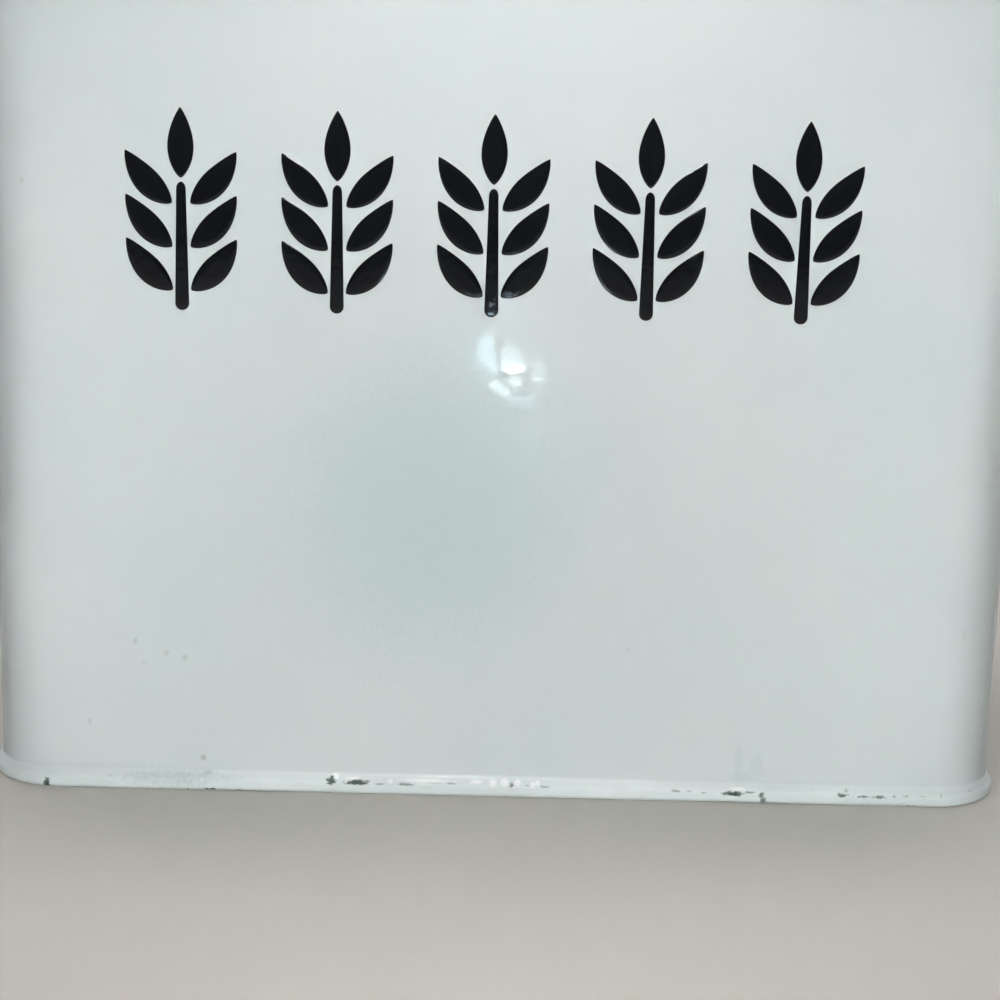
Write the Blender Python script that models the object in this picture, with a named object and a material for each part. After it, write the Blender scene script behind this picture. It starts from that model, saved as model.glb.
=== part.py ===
"""Enamelled sheet-steel bread bin: a seamed body on a folded base, two bow handles and a lift-off lid.

Metres, +Z up. The origin is the middle of the face that the bin stands on, and its front looks along -Y.
Most of the bin is one gauge of sheet, folded and curled. Each sheet is drawn as the middle line of its
section, in offsets outwards from the outer face of the body wall and in heights, and that section is then
carried round the plan of the bin, a rectangle with rounded corners.
"""

import math

import bmesh
import bpy
from mathutils import Euler, Vector

# Body, over the outer faces of its walls and up to the top of its rim
BODY_WIDTH = 0.330
BODY_DEPTH = 0.250
BODY_HEIGHT = 0.305
CORNER_RADIUS = 0.023
SHEET = 0.0005

# Folded seam between the body and its base
SEAM_HEIGHT = 0.0042
SEAM_GAP = 0.0002

# Base, pressed up inside a flat ring that the bin stands on
STANDING_RING = 0.012
BASE_RISE = 0.003
BASE_LEAN = 60.0

# Curled edges with a wire inside
RIM_WIRE_RADIUS = 0.0015
LID_WIRE_RADIUS = 0.0010
WIRE_GAP = 0.00025
CURL_END_GAP = 0.0003

# Vertical lap where the two ends of the body sheet meet, in the middle of the back
LAP_WIDTH = 0.009
LAP_MARGIN = 0.004

# Lid
LID_CLEARANCE = 0.0010
LID_SEAT_GAP = 0.0003
LID_SKIRT = 0.022
LID_BORDER = 0.010
LID_RISE = 0.008
LID_LEAN = 70.0
PANEL_CORNER_RADIUS = 0.018

# Bow handle, pressed hollow from a strip with a flat foot at each end
HANDLE_REACH = 0.027
HANDLE_SPAN = 0.092
HANDLE_WIDTH = 0.016
HANDLE_CROWN = 0.0038
HANDLE_GAUGE = 0.0010
HANDLE_FOOT = 0.025
HANDLE_FOOT_WIDTH = 0.019
HANDLE_FOOT_BEND = 0.008
HANDLE_TOP_BEND = 0.016
HANDLE_LEAN = 68.0
SEAT_GAP = 0.0002
SIDE_HANDLE_DROP = 0.090

# Rivets, two in each foot
RIVET_RADIUS = 0.0018
RIVET_HEAD_RADIUS = 0.0036
RIVET_HEAD_HEIGHT = 0.0018
RIVET_TAIL_RADIUS = 0.0031
RIVET_TAIL_HEIGHT = 0.0010
RIVET_GAP = 0.0002
RIVET_PITCH = 0.010

# Overrun of every cutter past the sheet that it cuts
OVERRUN = 0.002

# Shares of the sizes that they follow
FOOT_TIP_SHARES = (0.10, 0.35, 0.65, 1.0)
CAP_SHARES = (0.0, 0.45, 0.8, 1.0)
WELD_SHARE = 0.1

# Fineness, and the least angle that is shaded as an edge
SMOOTH_ANGLE = 40.0
CORNER_STEPS = 6
BEND_STEPS = 5
FOLD_STEPS = 6
CURL_STEPS = 13
WIRE_SIDES = 8
RIVET_SIDES = 10
HANDLE_STRIPS = 6
HANDLE_BEND_STEPS = 4

# Places in the seam's section that both sheets follow. The four layers lie side by side: the wall, the
# base's inner fold, the wall's hook and the base's outer skin.
HALF_SHEET = SHEET / 2
LAYER = SHEET + SEAM_GAP
WALL_LINE = -HALF_SHEET
INNER_FOLD_LINE = WALL_LINE + LAYER
HOOK_LINE = WALL_LINE + 2 * LAYER
OUTER_SKIN_LINE = WALL_LINE + 3 * LAYER
HOOK_BEND_HEIGHT = SHEET + SEAM_GAP + LAYER + HALF_SHEET
FOLD_BEND_HEIGHT = SEAM_HEIGHT - LAYER - HALF_SHEET

# The rim's curl, and the lid that drops over it
RIM_CURL_RADIUS = RIM_WIRE_RADIUS + WIRE_GAP + HALF_SHEET
RIM_CURL_LINE = WALL_LINE + RIM_CURL_RADIUS
RIM_CURL_HEIGHT = BODY_HEIGHT - RIM_CURL_RADIUS - HALF_SHEET
RIM_REACH = RIM_CURL_LINE + RIM_CURL_RADIUS + HALF_SHEET
SKIRT_LINE = RIM_REACH + LID_CLEARANCE + HALF_SHEET
BORDER_HEIGHT = BODY_HEIGHT + LID_SEAT_GAP + HALF_SHEET
SHOULDER_RADIUS = SKIRT_LINE - RIM_CURL_LINE
LID_CURL_RADIUS = LID_WIRE_RADIUS + WIRE_GAP + HALF_SHEET
LID_CURL_LINE = SKIRT_LINE + LID_CURL_RADIUS
LID_CURL_HEIGHT = BODY_HEIGHT - LID_SKIRT
LID_TOP = BORDER_HEIGHT + LID_RISE + HALF_SHEET

WHITE_ENAMEL = ("white_enamel", (0.78, 0.80, 0.76), 0.16, 0.0)
BLACK_ENAMEL = ("black_enamel", (0.012, 0.012, 0.014), 0.14, 0.0)
STEEL_WIRE = ("steel_wire", (0.42, 0.41, 0.40), 0.45, 1.0)


def clear_scene():
    """Takes away whatever the file opened with."""
    for thing in list(bpy.data.objects):
        bpy.data.objects.remove(thing, do_unlink=True)


def material(finish):
    """The finish's material, made the first time that it is asked for."""
    name, colour, roughness, metallic = finish
    made = bpy.data.materials.get(name)
    if made is None:
        made = bpy.data.materials.new(name)
        made.use_nodes = True
        shader = made.node_tree.nodes["Principled BSDF"]
        shader.inputs["Base Color"].default_value = (*colour, 1.0)
        shader.inputs["Roughness"].default_value = roughness
        shader.inputs["Metallic"].default_value = metallic
    return made


def placed(name, data, parent=None):
    """A new object in the scene, riding on its parent."""
    thing = bpy.data.objects.new(name, data)
    bpy.context.scene.collection.objects.link(thing)
    thing.parent = parent
    return thing


def finished_mesh(name, form, finish=None):
    """Turns a bmesh into a mesh whose faces look outwards and whose bends are shaded smooth."""
    bmesh.ops.recalc_face_normals(form, faces=form.faces)
    mesh = bpy.data.meshes.new(name)
    form.to_mesh(mesh)
    form.free()
    mesh.shade_smooth()
    mesh.set_sharp_from_angle(angle=math.radians(SMOOTH_ANGLE))
    if finish:
        mesh.materials.append(material(finish))
    return mesh


def helper(thing):
    """Marks an object that only shapes others."""
    thing.hide_render = True
    thing.display_type = "WIRE"
    return thing


def combine(thing, other, operation):
    """Cuts the other object out of this one, or joins it on."""
    change = thing.modifiers.new(operation.lower(), "BOOLEAN")
    change.operation = operation
    change.solver = "EXACT"
    change.object = other


def outline(offset, least_radius):
    """The plan of the bin moved outwards by offset: the same number of points whatever the offset."""
    half_width = BODY_WIDTH / 2 + offset
    half_depth = BODY_DEPTH / 2 + offset
    radius = max(CORNER_RADIUS + offset, least_radius)
    points = []
    for quarter, (side_x, side_y) in enumerate(((1, 1), (-1, 1), (-1, -1), (1, -1))):
        centre = Vector((side_x * (half_width - radius), side_y * (half_depth - radius)))
        for step in range(CORNER_STEPS + 1):
            turn = math.radians(90.0) * (quarter + step / CORNER_STEPS)
            points.append(centre + radius * Vector((math.cos(turn), math.sin(turn))))
    return points


def arc(centre_offset, centre_height, radius, start, end, steps):
    """Points of an arc in the section, from angle start to angle end in degrees, both ends included."""
    turns = [math.radians(start + (end - start) * step / steps) for step in range(steps + 1)]
    centre = Vector((centre_offset, centre_height))
    return [centre + radius * Vector((math.cos(turn), math.sin(turn))) for turn in turns]


def ogee(offset, height, drop, lean):
    """Two equal arcs that carry a level sheet outwards and down by drop, leaning by that angle between them."""
    radius = drop / (2 * (1 - math.cos(math.radians(lean))))
    run = 2 * radius * math.sin(math.radians(lean))
    upper = arc(offset, height - radius, radius, 90.0, 90.0 - lean, BEND_STEPS)
    lower = arc(offset + run, height - drop + radius, radius, 270.0 - lean, 270.0, BEND_STEPS)
    return upper + lower[1:]


def ogee_run(drop, lean):
    """How far outwards an ogee of that drop and lean goes."""
    return drop * math.sin(math.radians(lean)) / (1 - math.cos(math.radians(lean)))


def beside(line, distance):
    """An open line moved to its left by distance, with mitred corners so that the sheet keeps its gauge."""
    moved = []
    for here, behind, ahead in zip(line, [None] + line[:-1], line[1:] + [None]):
        ways = [(b - a).normalized() for a, b in ((behind, here), (here, ahead)) if a and b]
        normals = [Vector((-way.y, way.x)) for way in ways]
        middle = sum(normals, Vector((0, 0))).normalized()
        moved.append(here + middle * distance / middle.dot(normals[0]))
    return moved


def sheet_section(line, gauge):
    """Both faces of a sheet along its middle line: out along its left face, and back along its right one."""
    return beside(line, gauge / 2) + beside(line, -gauge / 2)[::-1]


def carried_round(section, closed, least_radius):
    """A section carried round the plan. A closed one makes a ring; an open one is filled across its ends."""
    form = bmesh.new()
    loops = []
    for offset, height in section:
        loops.append([form.verts.new((x, y, height)) for x, y in outline(offset, least_radius)])
    pairs = list(zip(loops, loops[1:]))
    if closed:
        pairs.append((loops[-1], loops[0]))
    else:
        form.faces.new(loops[0])
        form.faces.new(loops[-1])
    for first, second in pairs:
        for i in range(len(first)):
            form.faces.new((first[i - 1], first[i], second[i], second[i - 1]))
    return form


def wall_section():
    """Body sheet: up from its hook, round under it, up the wall and over the rim's wire."""
    hook = [Vector((HOOK_LINE, FOLD_BEND_HEIGHT))]
    under = arc((WALL_LINE + HOOK_LINE) / 2, HOOK_BEND_HEIGHT, LAYER, 0.0, -180.0, FOLD_STEPS)
    room = (CURL_END_GAP - RIM_CURL_LINE) / (RIM_CURL_RADIUS + HALF_SHEET)
    end = -math.degrees(math.acos(room))
    rim = arc(RIM_CURL_LINE, RIM_CURL_HEIGHT, RIM_CURL_RADIUS, 180.0, end, CURL_STEPS)
    return sheet_section(hook + under + rim, SHEET)


def base_section():
    """Base sheet: the raised floor, the standing ring, the outer skin of the seam and its inner fold."""
    start = -STANDING_RING - ogee_run(BASE_RISE, BASE_LEAN)
    floor = ogee(start, BASE_RISE + HALF_SHEET, BASE_RISE, BASE_LEAN)
    bend = (WALL_LINE + HOOK_LINE) / 2
    corner = arc(bend, HOOK_BEND_HEIGHT, OUTER_SKIN_LINE - bend, -90.0, 0.0, BEND_STEPS)
    fold = arc(HOOK_LINE, FOLD_BEND_HEIGHT, LAYER, 0.0, 180.0, FOLD_STEPS)
    tuck = [Vector((INNER_FOLD_LINE, HOOK_BEND_HEIGHT))]
    return sheet_section(floor + corner + fold + tuck, SHEET)


def lid_section():
    """Lid sheet: the raised panel, the border that rests on the rim, the skirt and its curled edge."""
    start = -LID_BORDER - ogee_run(LID_RISE, LID_LEAN)
    panel = ogee(start, BORDER_HEIGHT + LID_RISE, LID_RISE, LID_LEAN)
    shoulder = arc(
        RIM_CURL_LINE, BORDER_HEIGHT - SHOULDER_RADIUS, SHOULDER_RADIUS, 90.0, 0.0, BEND_STEPS
    )
    room = (HALF_SHEET + CURL_END_GAP - LID_CURL_RADIUS) / (LID_CURL_RADIUS + HALF_SHEET)
    end = 360.0 + math.degrees(math.acos(room))
    curl = arc(LID_CURL_LINE, LID_CURL_HEIGHT, LID_CURL_RADIUS, 180.0, end, CURL_STEPS)
    return sheet_section(panel + shoulder + curl, SHEET)


def sheet_part(name, section, closed, parent, least_radius=SHEET):
    """One folded sheet of the bin as an object."""
    form = carried_round(section, closed, least_radius)
    return placed(name, finished_mesh(name, form, WHITE_ENAMEL), parent)


def edge_wire(name, offset, height, radius, parent):
    """The wire that a curled edge is wrapped round."""
    section = arc(offset, height, radius, 0.0, 360.0, WIRE_SIDES)[:-1]
    form = carried_round(section, True, SHEET)
    return placed(name, finished_mesh(name, form, STEEL_WIRE), parent)


def side_lap(parent):
    """The lap down the back: a strip that stands one gauge proud at one edge and fades out at the other."""
    low = SEAM_HEIGHT + LAP_MARGIN
    high = RIM_CURL_HEIGHT - RIM_CURL_RADIUS - LAP_MARGIN
    back = BODY_DEPTH / 2
    half = LAP_WIDTH / 2
    sunk = back - HALF_SHEET
    ends = [(-half, sunk), (half, sunk), (half, back + SHEET), (-half, back)]
    form = bmesh.new()
    foot = [form.verts.new((x, y, low)) for x, y in ends]
    strip = bmesh.ops.extrude_face_region(form, geom=[form.faces.new(foot)])["geom"]
    raised = [part for part in strip if isinstance(part, bmesh.types.BMVert)]
    bmesh.ops.translate(form, verts=raised, vec=(0, 0, high - low))
    return helper(placed("side_lap", finished_mesh("side_lap", form), parent))


def handle_half_line():
    """Half of a handle's middle line from the tip of its foot to its middle, as (along, out, share of crown).

    The strip lies flat on the foot, bends up, leans outwards, and bends level again at its full reach.
    """
    lean = math.radians(HANDLE_LEAN)
    low = SEAT_GAP + HANDLE_GAUGE / 2
    high = HANDLE_REACH - HANDLE_GAUGE / 2 - HANDLE_CROWN
    bends = HANDLE_FOOT_BEND + HANDLE_TOP_BEND
    straight = (high - low - bends * (1 - math.cos(lean))) / math.sin(lean)
    half_span = HANDLE_SPAN / 2
    tip = half_span + HANDLE_FOOT
    line = [(tip - share * HANDLE_FOOT_WIDTH / 2, low, 0.0) for share in FOOT_TIP_SHARES]
    for step in range(HANDLE_BEND_STEPS + 1):
        turn = lean * step / HANDLE_BEND_STEPS
        along = half_span - HANDLE_FOOT_BEND * math.sin(turn)
        rise = HANDLE_FOOT_BEND * (1 - math.cos(turn))
        line.append((along, low + rise, 0.5 * step / HANDLE_BEND_STEPS))
    knee = half_span - bends * math.sin(lean) - straight * math.cos(lean)
    for step in range(HANDLE_BEND_STEPS, -1, -1):
        turn = lean * step / HANDLE_BEND_STEPS
        along = knee + HANDLE_TOP_BEND * math.sin(turn)
        fall = HANDLE_TOP_BEND * (1 - math.cos(turn))
        line.append((along, high - fall, 1.0 - 0.5 * step / HANDLE_BEND_STEPS))
    line.append((0.0, high, 1.0))
    return line


def handle_width(along):
    """The strip's width at a place along it: round at the tip, widest on the foot, then drawn in."""
    tip = HANDLE_SPAN / 2 + HANDLE_FOOT
    radius = HANDLE_FOOT_WIDTH / 2
    from_tip = tip - abs(along)
    if from_tip < radius:
        return 2 * math.sqrt(radius**2 - (radius - from_tip) ** 2)
    share = min(1.0, (from_tip - radius) / (HANDLE_FOOT - radius))
    ease = share * share * (3 - 2 * share)
    return HANDLE_FOOT_WIDTH + (HANDLE_WIDTH - HANDLE_FOOT_WIDTH) * ease


def handle_mesh():
    """The bow handle: a crowned strip lofted along its middle line, flat under both feet."""
    half = handle_half_line()
    line = half + [(-along, out, crown) for along, out, crown in half[-2::-1]]
    middle = [Vector((along, out)) for along, out, _ in line]
    outer = beside(middle, -HANDLE_GAUGE / 2)
    inner = beside(middle, HANDLE_GAUGE / 2)
    form = bmesh.new()
    loops = []
    for i, (along, _, crown) in enumerate(line):
        width = handle_width(along)
        out_way = (outer[i] - inner[i]).normalized()
        loop = []
        for face, order in ((outer[i], 1), (inner[i], -1)):
            for strip in range(HANDLE_STRIPS + 1):
                across = order * (2 * strip / HANDLE_STRIPS - 1)
                place = face + out_way * crown * HANDLE_CROWN * (1 - across**2)
                loop.append(form.verts.new((place.x, across * width / 2, place.y)))
        loops.append(loop)
    form.faces.new(loops[0])
    form.faces.new(loops[-1])
    for first, second in zip(loops, loops[1:]):
        for k in range(len(first)):
            form.faces.new((first[k - 1], first[k], second[k], second[k - 1]))
    return finished_mesh("bow_handle", form, BLACK_ENAMEL)


def rivet_places():
    """Where the rivets stand along a handle: two in the middle of each foot."""
    middle = HANDLE_SPAN / 2 + HANDLE_FOOT / 2
    return [side * middle + way * RIVET_PITCH / 2 for side in (-1, 1) for way in (-1, 1)]


def rivet_mesh():
    """A rivet turned about its own axis: a domed head on the foot, and a flat tail inside the sheet."""
    seat = SEAT_GAP + HANDLE_GAUGE + RIVET_GAP
    tail = -SHEET - RIVET_GAP
    profile = []
    for share in CAP_SHARES:
        profile.append((RIVET_HEAD_RADIUS * share, seat + RIVET_HEAD_HEIGHT * math.sqrt(1 - share**2)))
    profile += [(RIVET_RADIUS, seat), (RIVET_RADIUS, tail)]
    profile += [(RIVET_TAIL_RADIUS, tail), (RIVET_TAIL_RADIUS, tail - RIVET_TAIL_HEIGHT)]
    profile.append((0.0, tail - RIVET_TAIL_HEIGHT))
    form = bmesh.new()
    points = [form.verts.new((radius, 0, height)) for radius, height in profile]
    edges = [form.edges.new(pair) for pair in zip(points, points[1:])]
    bmesh.ops.spin(
        form,
        geom=points + edges,
        cent=(0, 0, 0),
        axis=(0, 0, 1),
        angle=math.radians(360.0),
        steps=RIVET_SIDES,
    )
    bmesh.ops.remove_doubles(form, verts=form.verts, dist=RIVET_GAP * WELD_SHARE)
    return finished_mesh("rivet", form, BLACK_ENAMEL)


def rivet_holes_mesh():
    """Cutter for the four rivet holes of one handle, long enough for its feet and the sheet under them."""
    depth = SHEET + SEAT_GAP + HANDLE_GAUGE + 2 * OVERRUN
    middle = (SEAT_GAP + HANDLE_GAUGE - SHEET) / 2
    form = bmesh.new()
    for along in rivet_places():
        made = bmesh.ops.create_cone(
            form,
            cap_ends=True,
            segments=RIVET_SIDES,
            radius1=RIVET_RADIUS + RIVET_GAP,
            radius2=RIVET_RADIUS + RIVET_GAP,
            depth=depth,
        )
        bmesh.ops.translate(form, verts=made["verts"], vec=(along, 0, middle))
    return finished_mesh("rivet_holes", form)


def riveted_handle(name, place, turn, sheet, meshes):
    """One handle on its seat, with its rivets, and their holes through its feet and the sheet under it."""
    handle_form, rivet_form, holes_form = meshes
    seat = placed(name + "_seat", None, sheet.parent)
    seat.location = place
    seat.rotation_euler = turn
    handle = placed(name, handle_form, seat)
    holes = helper(placed(name + "_holes", holes_form, seat))
    for number, along in enumerate(rivet_places(), 1):
        rivet = placed(f"{name}_rivet_{number}", rivet_form, seat)
        rivet.location = (along, 0, 0)
    combine(handle, holes, "DIFFERENCE")
    combine(sheet, holes, "DIFFERENCE")


def build():
    """The whole bin: what stays on the table hangs from one empty, and what lifts off from another."""
    clear_scene()
    bin_frame = placed("bin", None)
    lid_frame = placed("lid", None)
    wall = sheet_part("bin_wall", wall_section(), True, bin_frame)
    combine(wall, side_lap(bin_frame), "UNION")
    sheet_part("base_pan", base_section(), False, bin_frame)
    edge_wire("rim_wire", RIM_CURL_LINE, RIM_CURL_HEIGHT, RIM_WIRE_RADIUS, bin_frame)
    lid = sheet_part("lid_pressing", lid_section(), False, lid_frame, PANEL_CORNER_RADIUS)
    edge_wire("lid_edge_wire", LID_CURL_LINE, LID_CURL_HEIGHT, LID_WIRE_RADIUS, lid_frame)

    meshes = (handle_mesh(), rivet_mesh(), rivet_holes_mesh())
    quarter = math.radians(90.0)
    half_width = BODY_WIDTH / 2
    height = BODY_HEIGHT - SIDE_HANDLE_DROP
    left = Euler((quarter, 0, -quarter))
    right = Euler((quarter, 0, quarter))
    riveted_handle("left_handle", (-half_width, 0, height), left, wall, meshes)
    riveted_handle("right_handle", (half_width, 0, height), right, wall, meshes)
    riveted_handle("lid_handle", (0, 0, LID_TOP), Euler((0, 0, 0)), lid, meshes)


build()
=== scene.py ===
"""Looks of an enamelled steel bread bin, built round its packed frame, with a plain studio stage.

Every sheet piece is one section, given as offsets outwards from the wall and heights, carried round the
plan of the bin. Lengths are in metres, +Z is up, and the front of the bin looks along -Y.
"""

import math

import bpy
import numpy as np
from bpy.props import FloatProperty, FloatVectorProperty, IntProperty, PointerProperty
from mathutils import Matrix, Vector


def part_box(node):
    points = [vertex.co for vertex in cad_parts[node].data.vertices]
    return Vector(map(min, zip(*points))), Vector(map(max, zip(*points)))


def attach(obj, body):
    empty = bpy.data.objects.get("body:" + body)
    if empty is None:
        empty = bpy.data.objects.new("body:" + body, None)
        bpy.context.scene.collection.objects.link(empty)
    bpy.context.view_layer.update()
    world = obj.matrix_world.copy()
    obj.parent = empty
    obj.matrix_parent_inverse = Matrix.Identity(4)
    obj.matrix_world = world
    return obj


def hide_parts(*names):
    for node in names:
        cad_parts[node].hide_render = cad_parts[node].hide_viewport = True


bl_info = {
    "name": "Enamelled Bread Bin",
    "version": (1, 0, 0),
    "blender": (4, 5, 0),
    "location": "View3D > Sidebar > Bread Bin",
    "description": "Makes the enamelled shells, handles and ornament of a bread bin, and its stage",
    "category": "Object",
}

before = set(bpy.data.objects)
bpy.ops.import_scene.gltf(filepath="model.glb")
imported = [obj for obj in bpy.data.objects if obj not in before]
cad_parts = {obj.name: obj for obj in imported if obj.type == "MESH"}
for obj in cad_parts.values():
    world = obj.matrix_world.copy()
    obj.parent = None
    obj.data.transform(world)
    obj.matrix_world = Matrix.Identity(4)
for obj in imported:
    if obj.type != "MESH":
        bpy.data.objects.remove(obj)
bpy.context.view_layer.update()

MM = 0.001
PAN_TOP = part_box("base_pan")[1]
WALL_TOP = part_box("bin_wall")[1]
LID_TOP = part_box("lid_pressing")[1]
LID_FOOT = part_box("lid_pressing")[0]
LEFT_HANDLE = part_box("left_handle")

# Wear of the coat along the front of the seam, in millimetres. Chips: place along the front and height of
# the middle, half length, half height, and how much of that is bare. Drops of cover coat, which melted there
# and stand proud: the same four, and their rise.
SEAM_CHIPS = (
    (-144.2, 1.2, 1.7, 3.00, 0.85),
    (-123.9, 4.2, 2.2, 0.80, 0.30),
    (-90.9, 0.4, 1.7, 0.80, 0.90),
    (-82.6, 0.2, 2.0, 0.50, 0.80),
    (-52.6, 4.4, 2.4, 1.80, 0.80),
    (-44.0, 4.0, 5.5, 1.20, 0.88),
    (-36.6, 3.7, 3.0, 0.70, 0.45),
    (-28.5, 3.8, 5.2, 0.70, 0.52),
    (-19.0, 4.2, 4.7, 0.47, 0.36),
    (-13.5, 4.3, 2.9, 0.61, 0.50),
    (5.9, 4.3, 1.0, 1.22, 0.62),
    (10.8, 4.2, 1.8, 0.54, 0.42),
    (16.6, 4.0, 2.7, 0.61, 0.54),
    (58.7, 3.8, 2.7, 0.81, 0.48),
    (63.2, 3.7, 1.8, 0.54, 0.42),
    (68.1, 3.3, 1.5, 0.74, 0.42),
    (77.6, 3.2, 4.7, 1.10, 0.88),
    (83.0, 3.9, 2.9, 0.54, 0.55),
    (86.7, 3.0, 1.5, 1.60, 0.66),
    (87.2, 1.4, 1.6, 2.40, 0.66),
    (76.0, 0.1, 5.0, 0.35, 0.70),
    (92.0, 0.1, 6.0, 0.40, 0.70),
    (112.7, 3.6, 3.0, 0.95, 0.70),
    (114.1, 4.8, 1.1, 0.94, 0.42),
    (119.4, 3.3, 4.0, 0.80, 0.58),
    (124.6, 3.3, 4.0, 0.85, 0.60),
    (129.4, 3.6, 1.0, 0.94, 0.48),
    (133.4, 3.9, 2.0, 0.54, 0.44),
    (139.0, 3.8, 2.9, 0.47, 0.36),
    (144.4, 4.0, 0.8, 1.49, 0.42),
    (155.2, 4.6, 0.8, 0.94, 0.38),
)
SEAM_DROPS = (
    (-51.2, 5.5, 1.2, 1.1, 0.42),
    (-45.5, 5.0, 3.6, 0.6, 0.13),
    (-33.3, 4.4, 0.9, 0.7, 0.20),
    (-20.0, 4.9, 12.0, 0.5, 0.13),
    (-5.7, 4.8, 2.4, 0.6, 0.24),
    (-0.3, 4.6, 1.3, 1.2, 0.36),
    (3.6, 4.8, 1.5, 1.2, 0.36),
    (7.8, 4.9, 1.1, 0.9, 0.32),
    (12.7, 4.3, 1.0, 0.9, 0.30),
    (14.2, 4.9, 0.9, 0.8, 0.28),
    (79.0, 4.7, 3.4, 0.5, 0.11),
)

# Marks on the front wall: place across and height of the middle, radii across and up, in millimetres, and
# how strongly they show.
SPECKS = (
    (-94.0, 10.6, 1.4, 1.4, 0.45),
    (-115.4, 49.0, 1.2, 1.6, 0.24),
    (-105.5, 45.3, 1.5, 1.4, 0.22),
    (-99.7, 43.8, 1.4, 1.5, 0.26),
    (-112.6, 41.8, 1.5, 1.1, 0.16),
    (-130.6, 22.0, 0.8, 1.6, 0.25),
    (-148.0, 193.0, 1.2, 1.8, 0.18),
    (42.0, 50.0, 1.4, 1.1, 0.12),
    (149.0, 57.0, 1.4, 3.0, 0.12),
)
SMUDGES = (
    (-3.0, 147.0, 22.0, 18.0, 1.0),
    (4.0, 136.0, 20.0, 16.0, 1.0),
    (10.0, 121.0, 11.0, 18.0, 1.0),
    (0.0, 160.0, 24.0, 9.0, 0.9),
)
WIPED = ((2.9, 140.8, 4.6, 4.0, 1.0),)
# Painted shade: a broad darker patch in the front's middle, where less light falls.
PAINTED_SHADE_PATCHES = ((-22.0, 95.0, 62.0, 70.0, 0.9),)
# Real scuffs and drips, and painted shade: the rows at -128, 88 and 128 mm darken parts of the seam's crease
# and bead where less light falls.
STAINS_AND_PAINTED_SHADE = (
    (-128.0, 6.4, 46.0, 2.6, 0.1),
    (-104.0, 3.6, 26.0, 3.8, 0.42),
    (128.0, 2.2, 30.0, 2.4, 0.22),
    (88.0, 5.9, 62.0, 2.2, 0.1),
    (-92.6, 5.6, 3.0, 1.6, 0.5),
    (-92.6, 3.2, 4.0, 1.2, 0.16),
    (80.5, 7.5, 6.5, 3.5, 0.16),
    (79.0, 13.0, 2.2, 9.0, 0.12),
    (85.0, 11.5, 3.0, 6.5, 0.15),
    (-158.0, 33.0, 3.5, 4.5, 0.12),
)

# Small lights near the camera, whose image in the front is the glare: place across and height, width and
# height in millimetres, brightness, and how blue each is.
GLARES = (
    (4.4, 93.5, 11.6, 8.4, 28.0, 0.0),
    (0.3, 102.0, 9.6, 4.4, 10.0, 0.0),
    (6.5, 105.3, 15.6, 3.8, 6.5, 0.0),
    (-13.3, 109.5, 8.3, 7.0, 11.6, 1.0),
    (-13.3, 100.0, 12.7, 11.2, 9.4, 1.0),
    (-8.8, 92.2, 7.3, 5.8, 10.9, 0.9),
    (-24.2, 100.0, 34.3, 26.9, 0.8, 0.8),
    (-19.5, 81.5, 6.2, 3.0, 8.7, 0.0),
    (-7.0, 81.5, 6.2, 5.0, 13.0, 0.0),
    (-1.3, 77.3, 11.7, 4.6, 11.6, 0.0),
    (6.0, 84.2, 7.5, 7.6, 10.9, 0.0),
    (9.1, 81.9, 2.7, 2.0, 17.4, 0.0),
    (20.0, 94.5, 8.3, 10.0, 6.7, 0.0),
    (20.6, 85.8, 9.6, 8.0, 7.8, 0.0),
    (8.6, 72.6, 20.8, 6.6, 3.8, 0.8),
    (13.8, 69.1, 9.6, 3.4, 8.0, 1.0),
    (-11.7, 62.9, 8.5, 4.8, 2.3, 0.9),
    (29.9, 57.1, 6.5, 7.4, 2.9, 0.0),
    (6.0, 55.6, 5.4, 3.6, 3.2, 0.2),
    (16.4, 50.1, 12.9, 11.2, 2.9, 0.0),
    (18.3, 36.1, 12.7, 8.8, 6.1, 0.0),
    (26.0, 35.1, 6.2, 6.0, 2.9, 0.0),
    (-33.6, 112.0, 6.5, 10.4, 3.8, 0.0),
    (-40.9, 80.0, 11.7, 9.0, 1.2, 0.2),
    (-2.2, 121.3, 4.4, 2.8, 6.5, 0.0),
    (-1.3, 116.5, 34.3, 12.4, 1.2, 0.1),
    (55.9, 77.0, 6.5, 12.4, 1.2, 0.0),
    (-28.0, 128.0, 8.0, 5.0, 3.8, 0.8),
    (-11.0, 131.0, 6.0, 6.0, 3.8, 0.5),
    (-1.0, 133.0, 8.0, 8.0, 4.3, 0.8),
    (10.0, 127.5, 8.0, 5.0, 4.1, 0.5),
)

# Gridded front lamps. They even out the light on the flat of the front and leave its corners darker, because
# the beams of those at the sides cross. Place across of the lamp, place across and height aimed at, power.
GRIDS = (
    (0.9, -0.16, 0.24, 0.060),
    (-0.9, 0.16, 0.24, 0.069),
    (0.9, -0.22, 0.10, 0.124),
    (-0.9, 0.22, 0.10, 0.108),
    (0.9, -0.20, -0.06, 0.056),
    (-0.9, 0.20, -0.06, 0.074),
    (0.0, 0.00, 0.30, 0.080),
    (0.0, 0.00, -0.09, 0.084),
)
GRID_PLACE = (-1.75, 0.68)
GRID_DEPTH = -0.125
GRID_SIZE = (0.2, 0.2)
GRID_SPREAD = math.radians(12.0)
GLARE_DEPTH = -0.66
GLARE_AIM = (0.0, -0.1, 0.14)

# The other lamps: place, point aimed at, and size.
LAMPS = {
    "front_softbox": ((0.0, -1.75, 1.05), (0.0, 0.0, 0.15), (1.3, 0.9)),
    "top_lamp": ((0.0, 0.18, 2.2), (0.0, 0.0, 0.0), (0.5, 0.4)),
    "side_softbox_1": ((-1.5, 1.7, 0.95), (0.0, 0.0, 0.15), (2.2, 1.7)),
    "side_softbox_3": ((1.5, 1.7, 0.95), (0.0, 0.0, 0.15), (2.2, 1.7)),
    "front_spot": ((0.0095, -1.2, 1.95), (0.0, -0.13, 0.0), (0.1, 0.06)),
}

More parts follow.
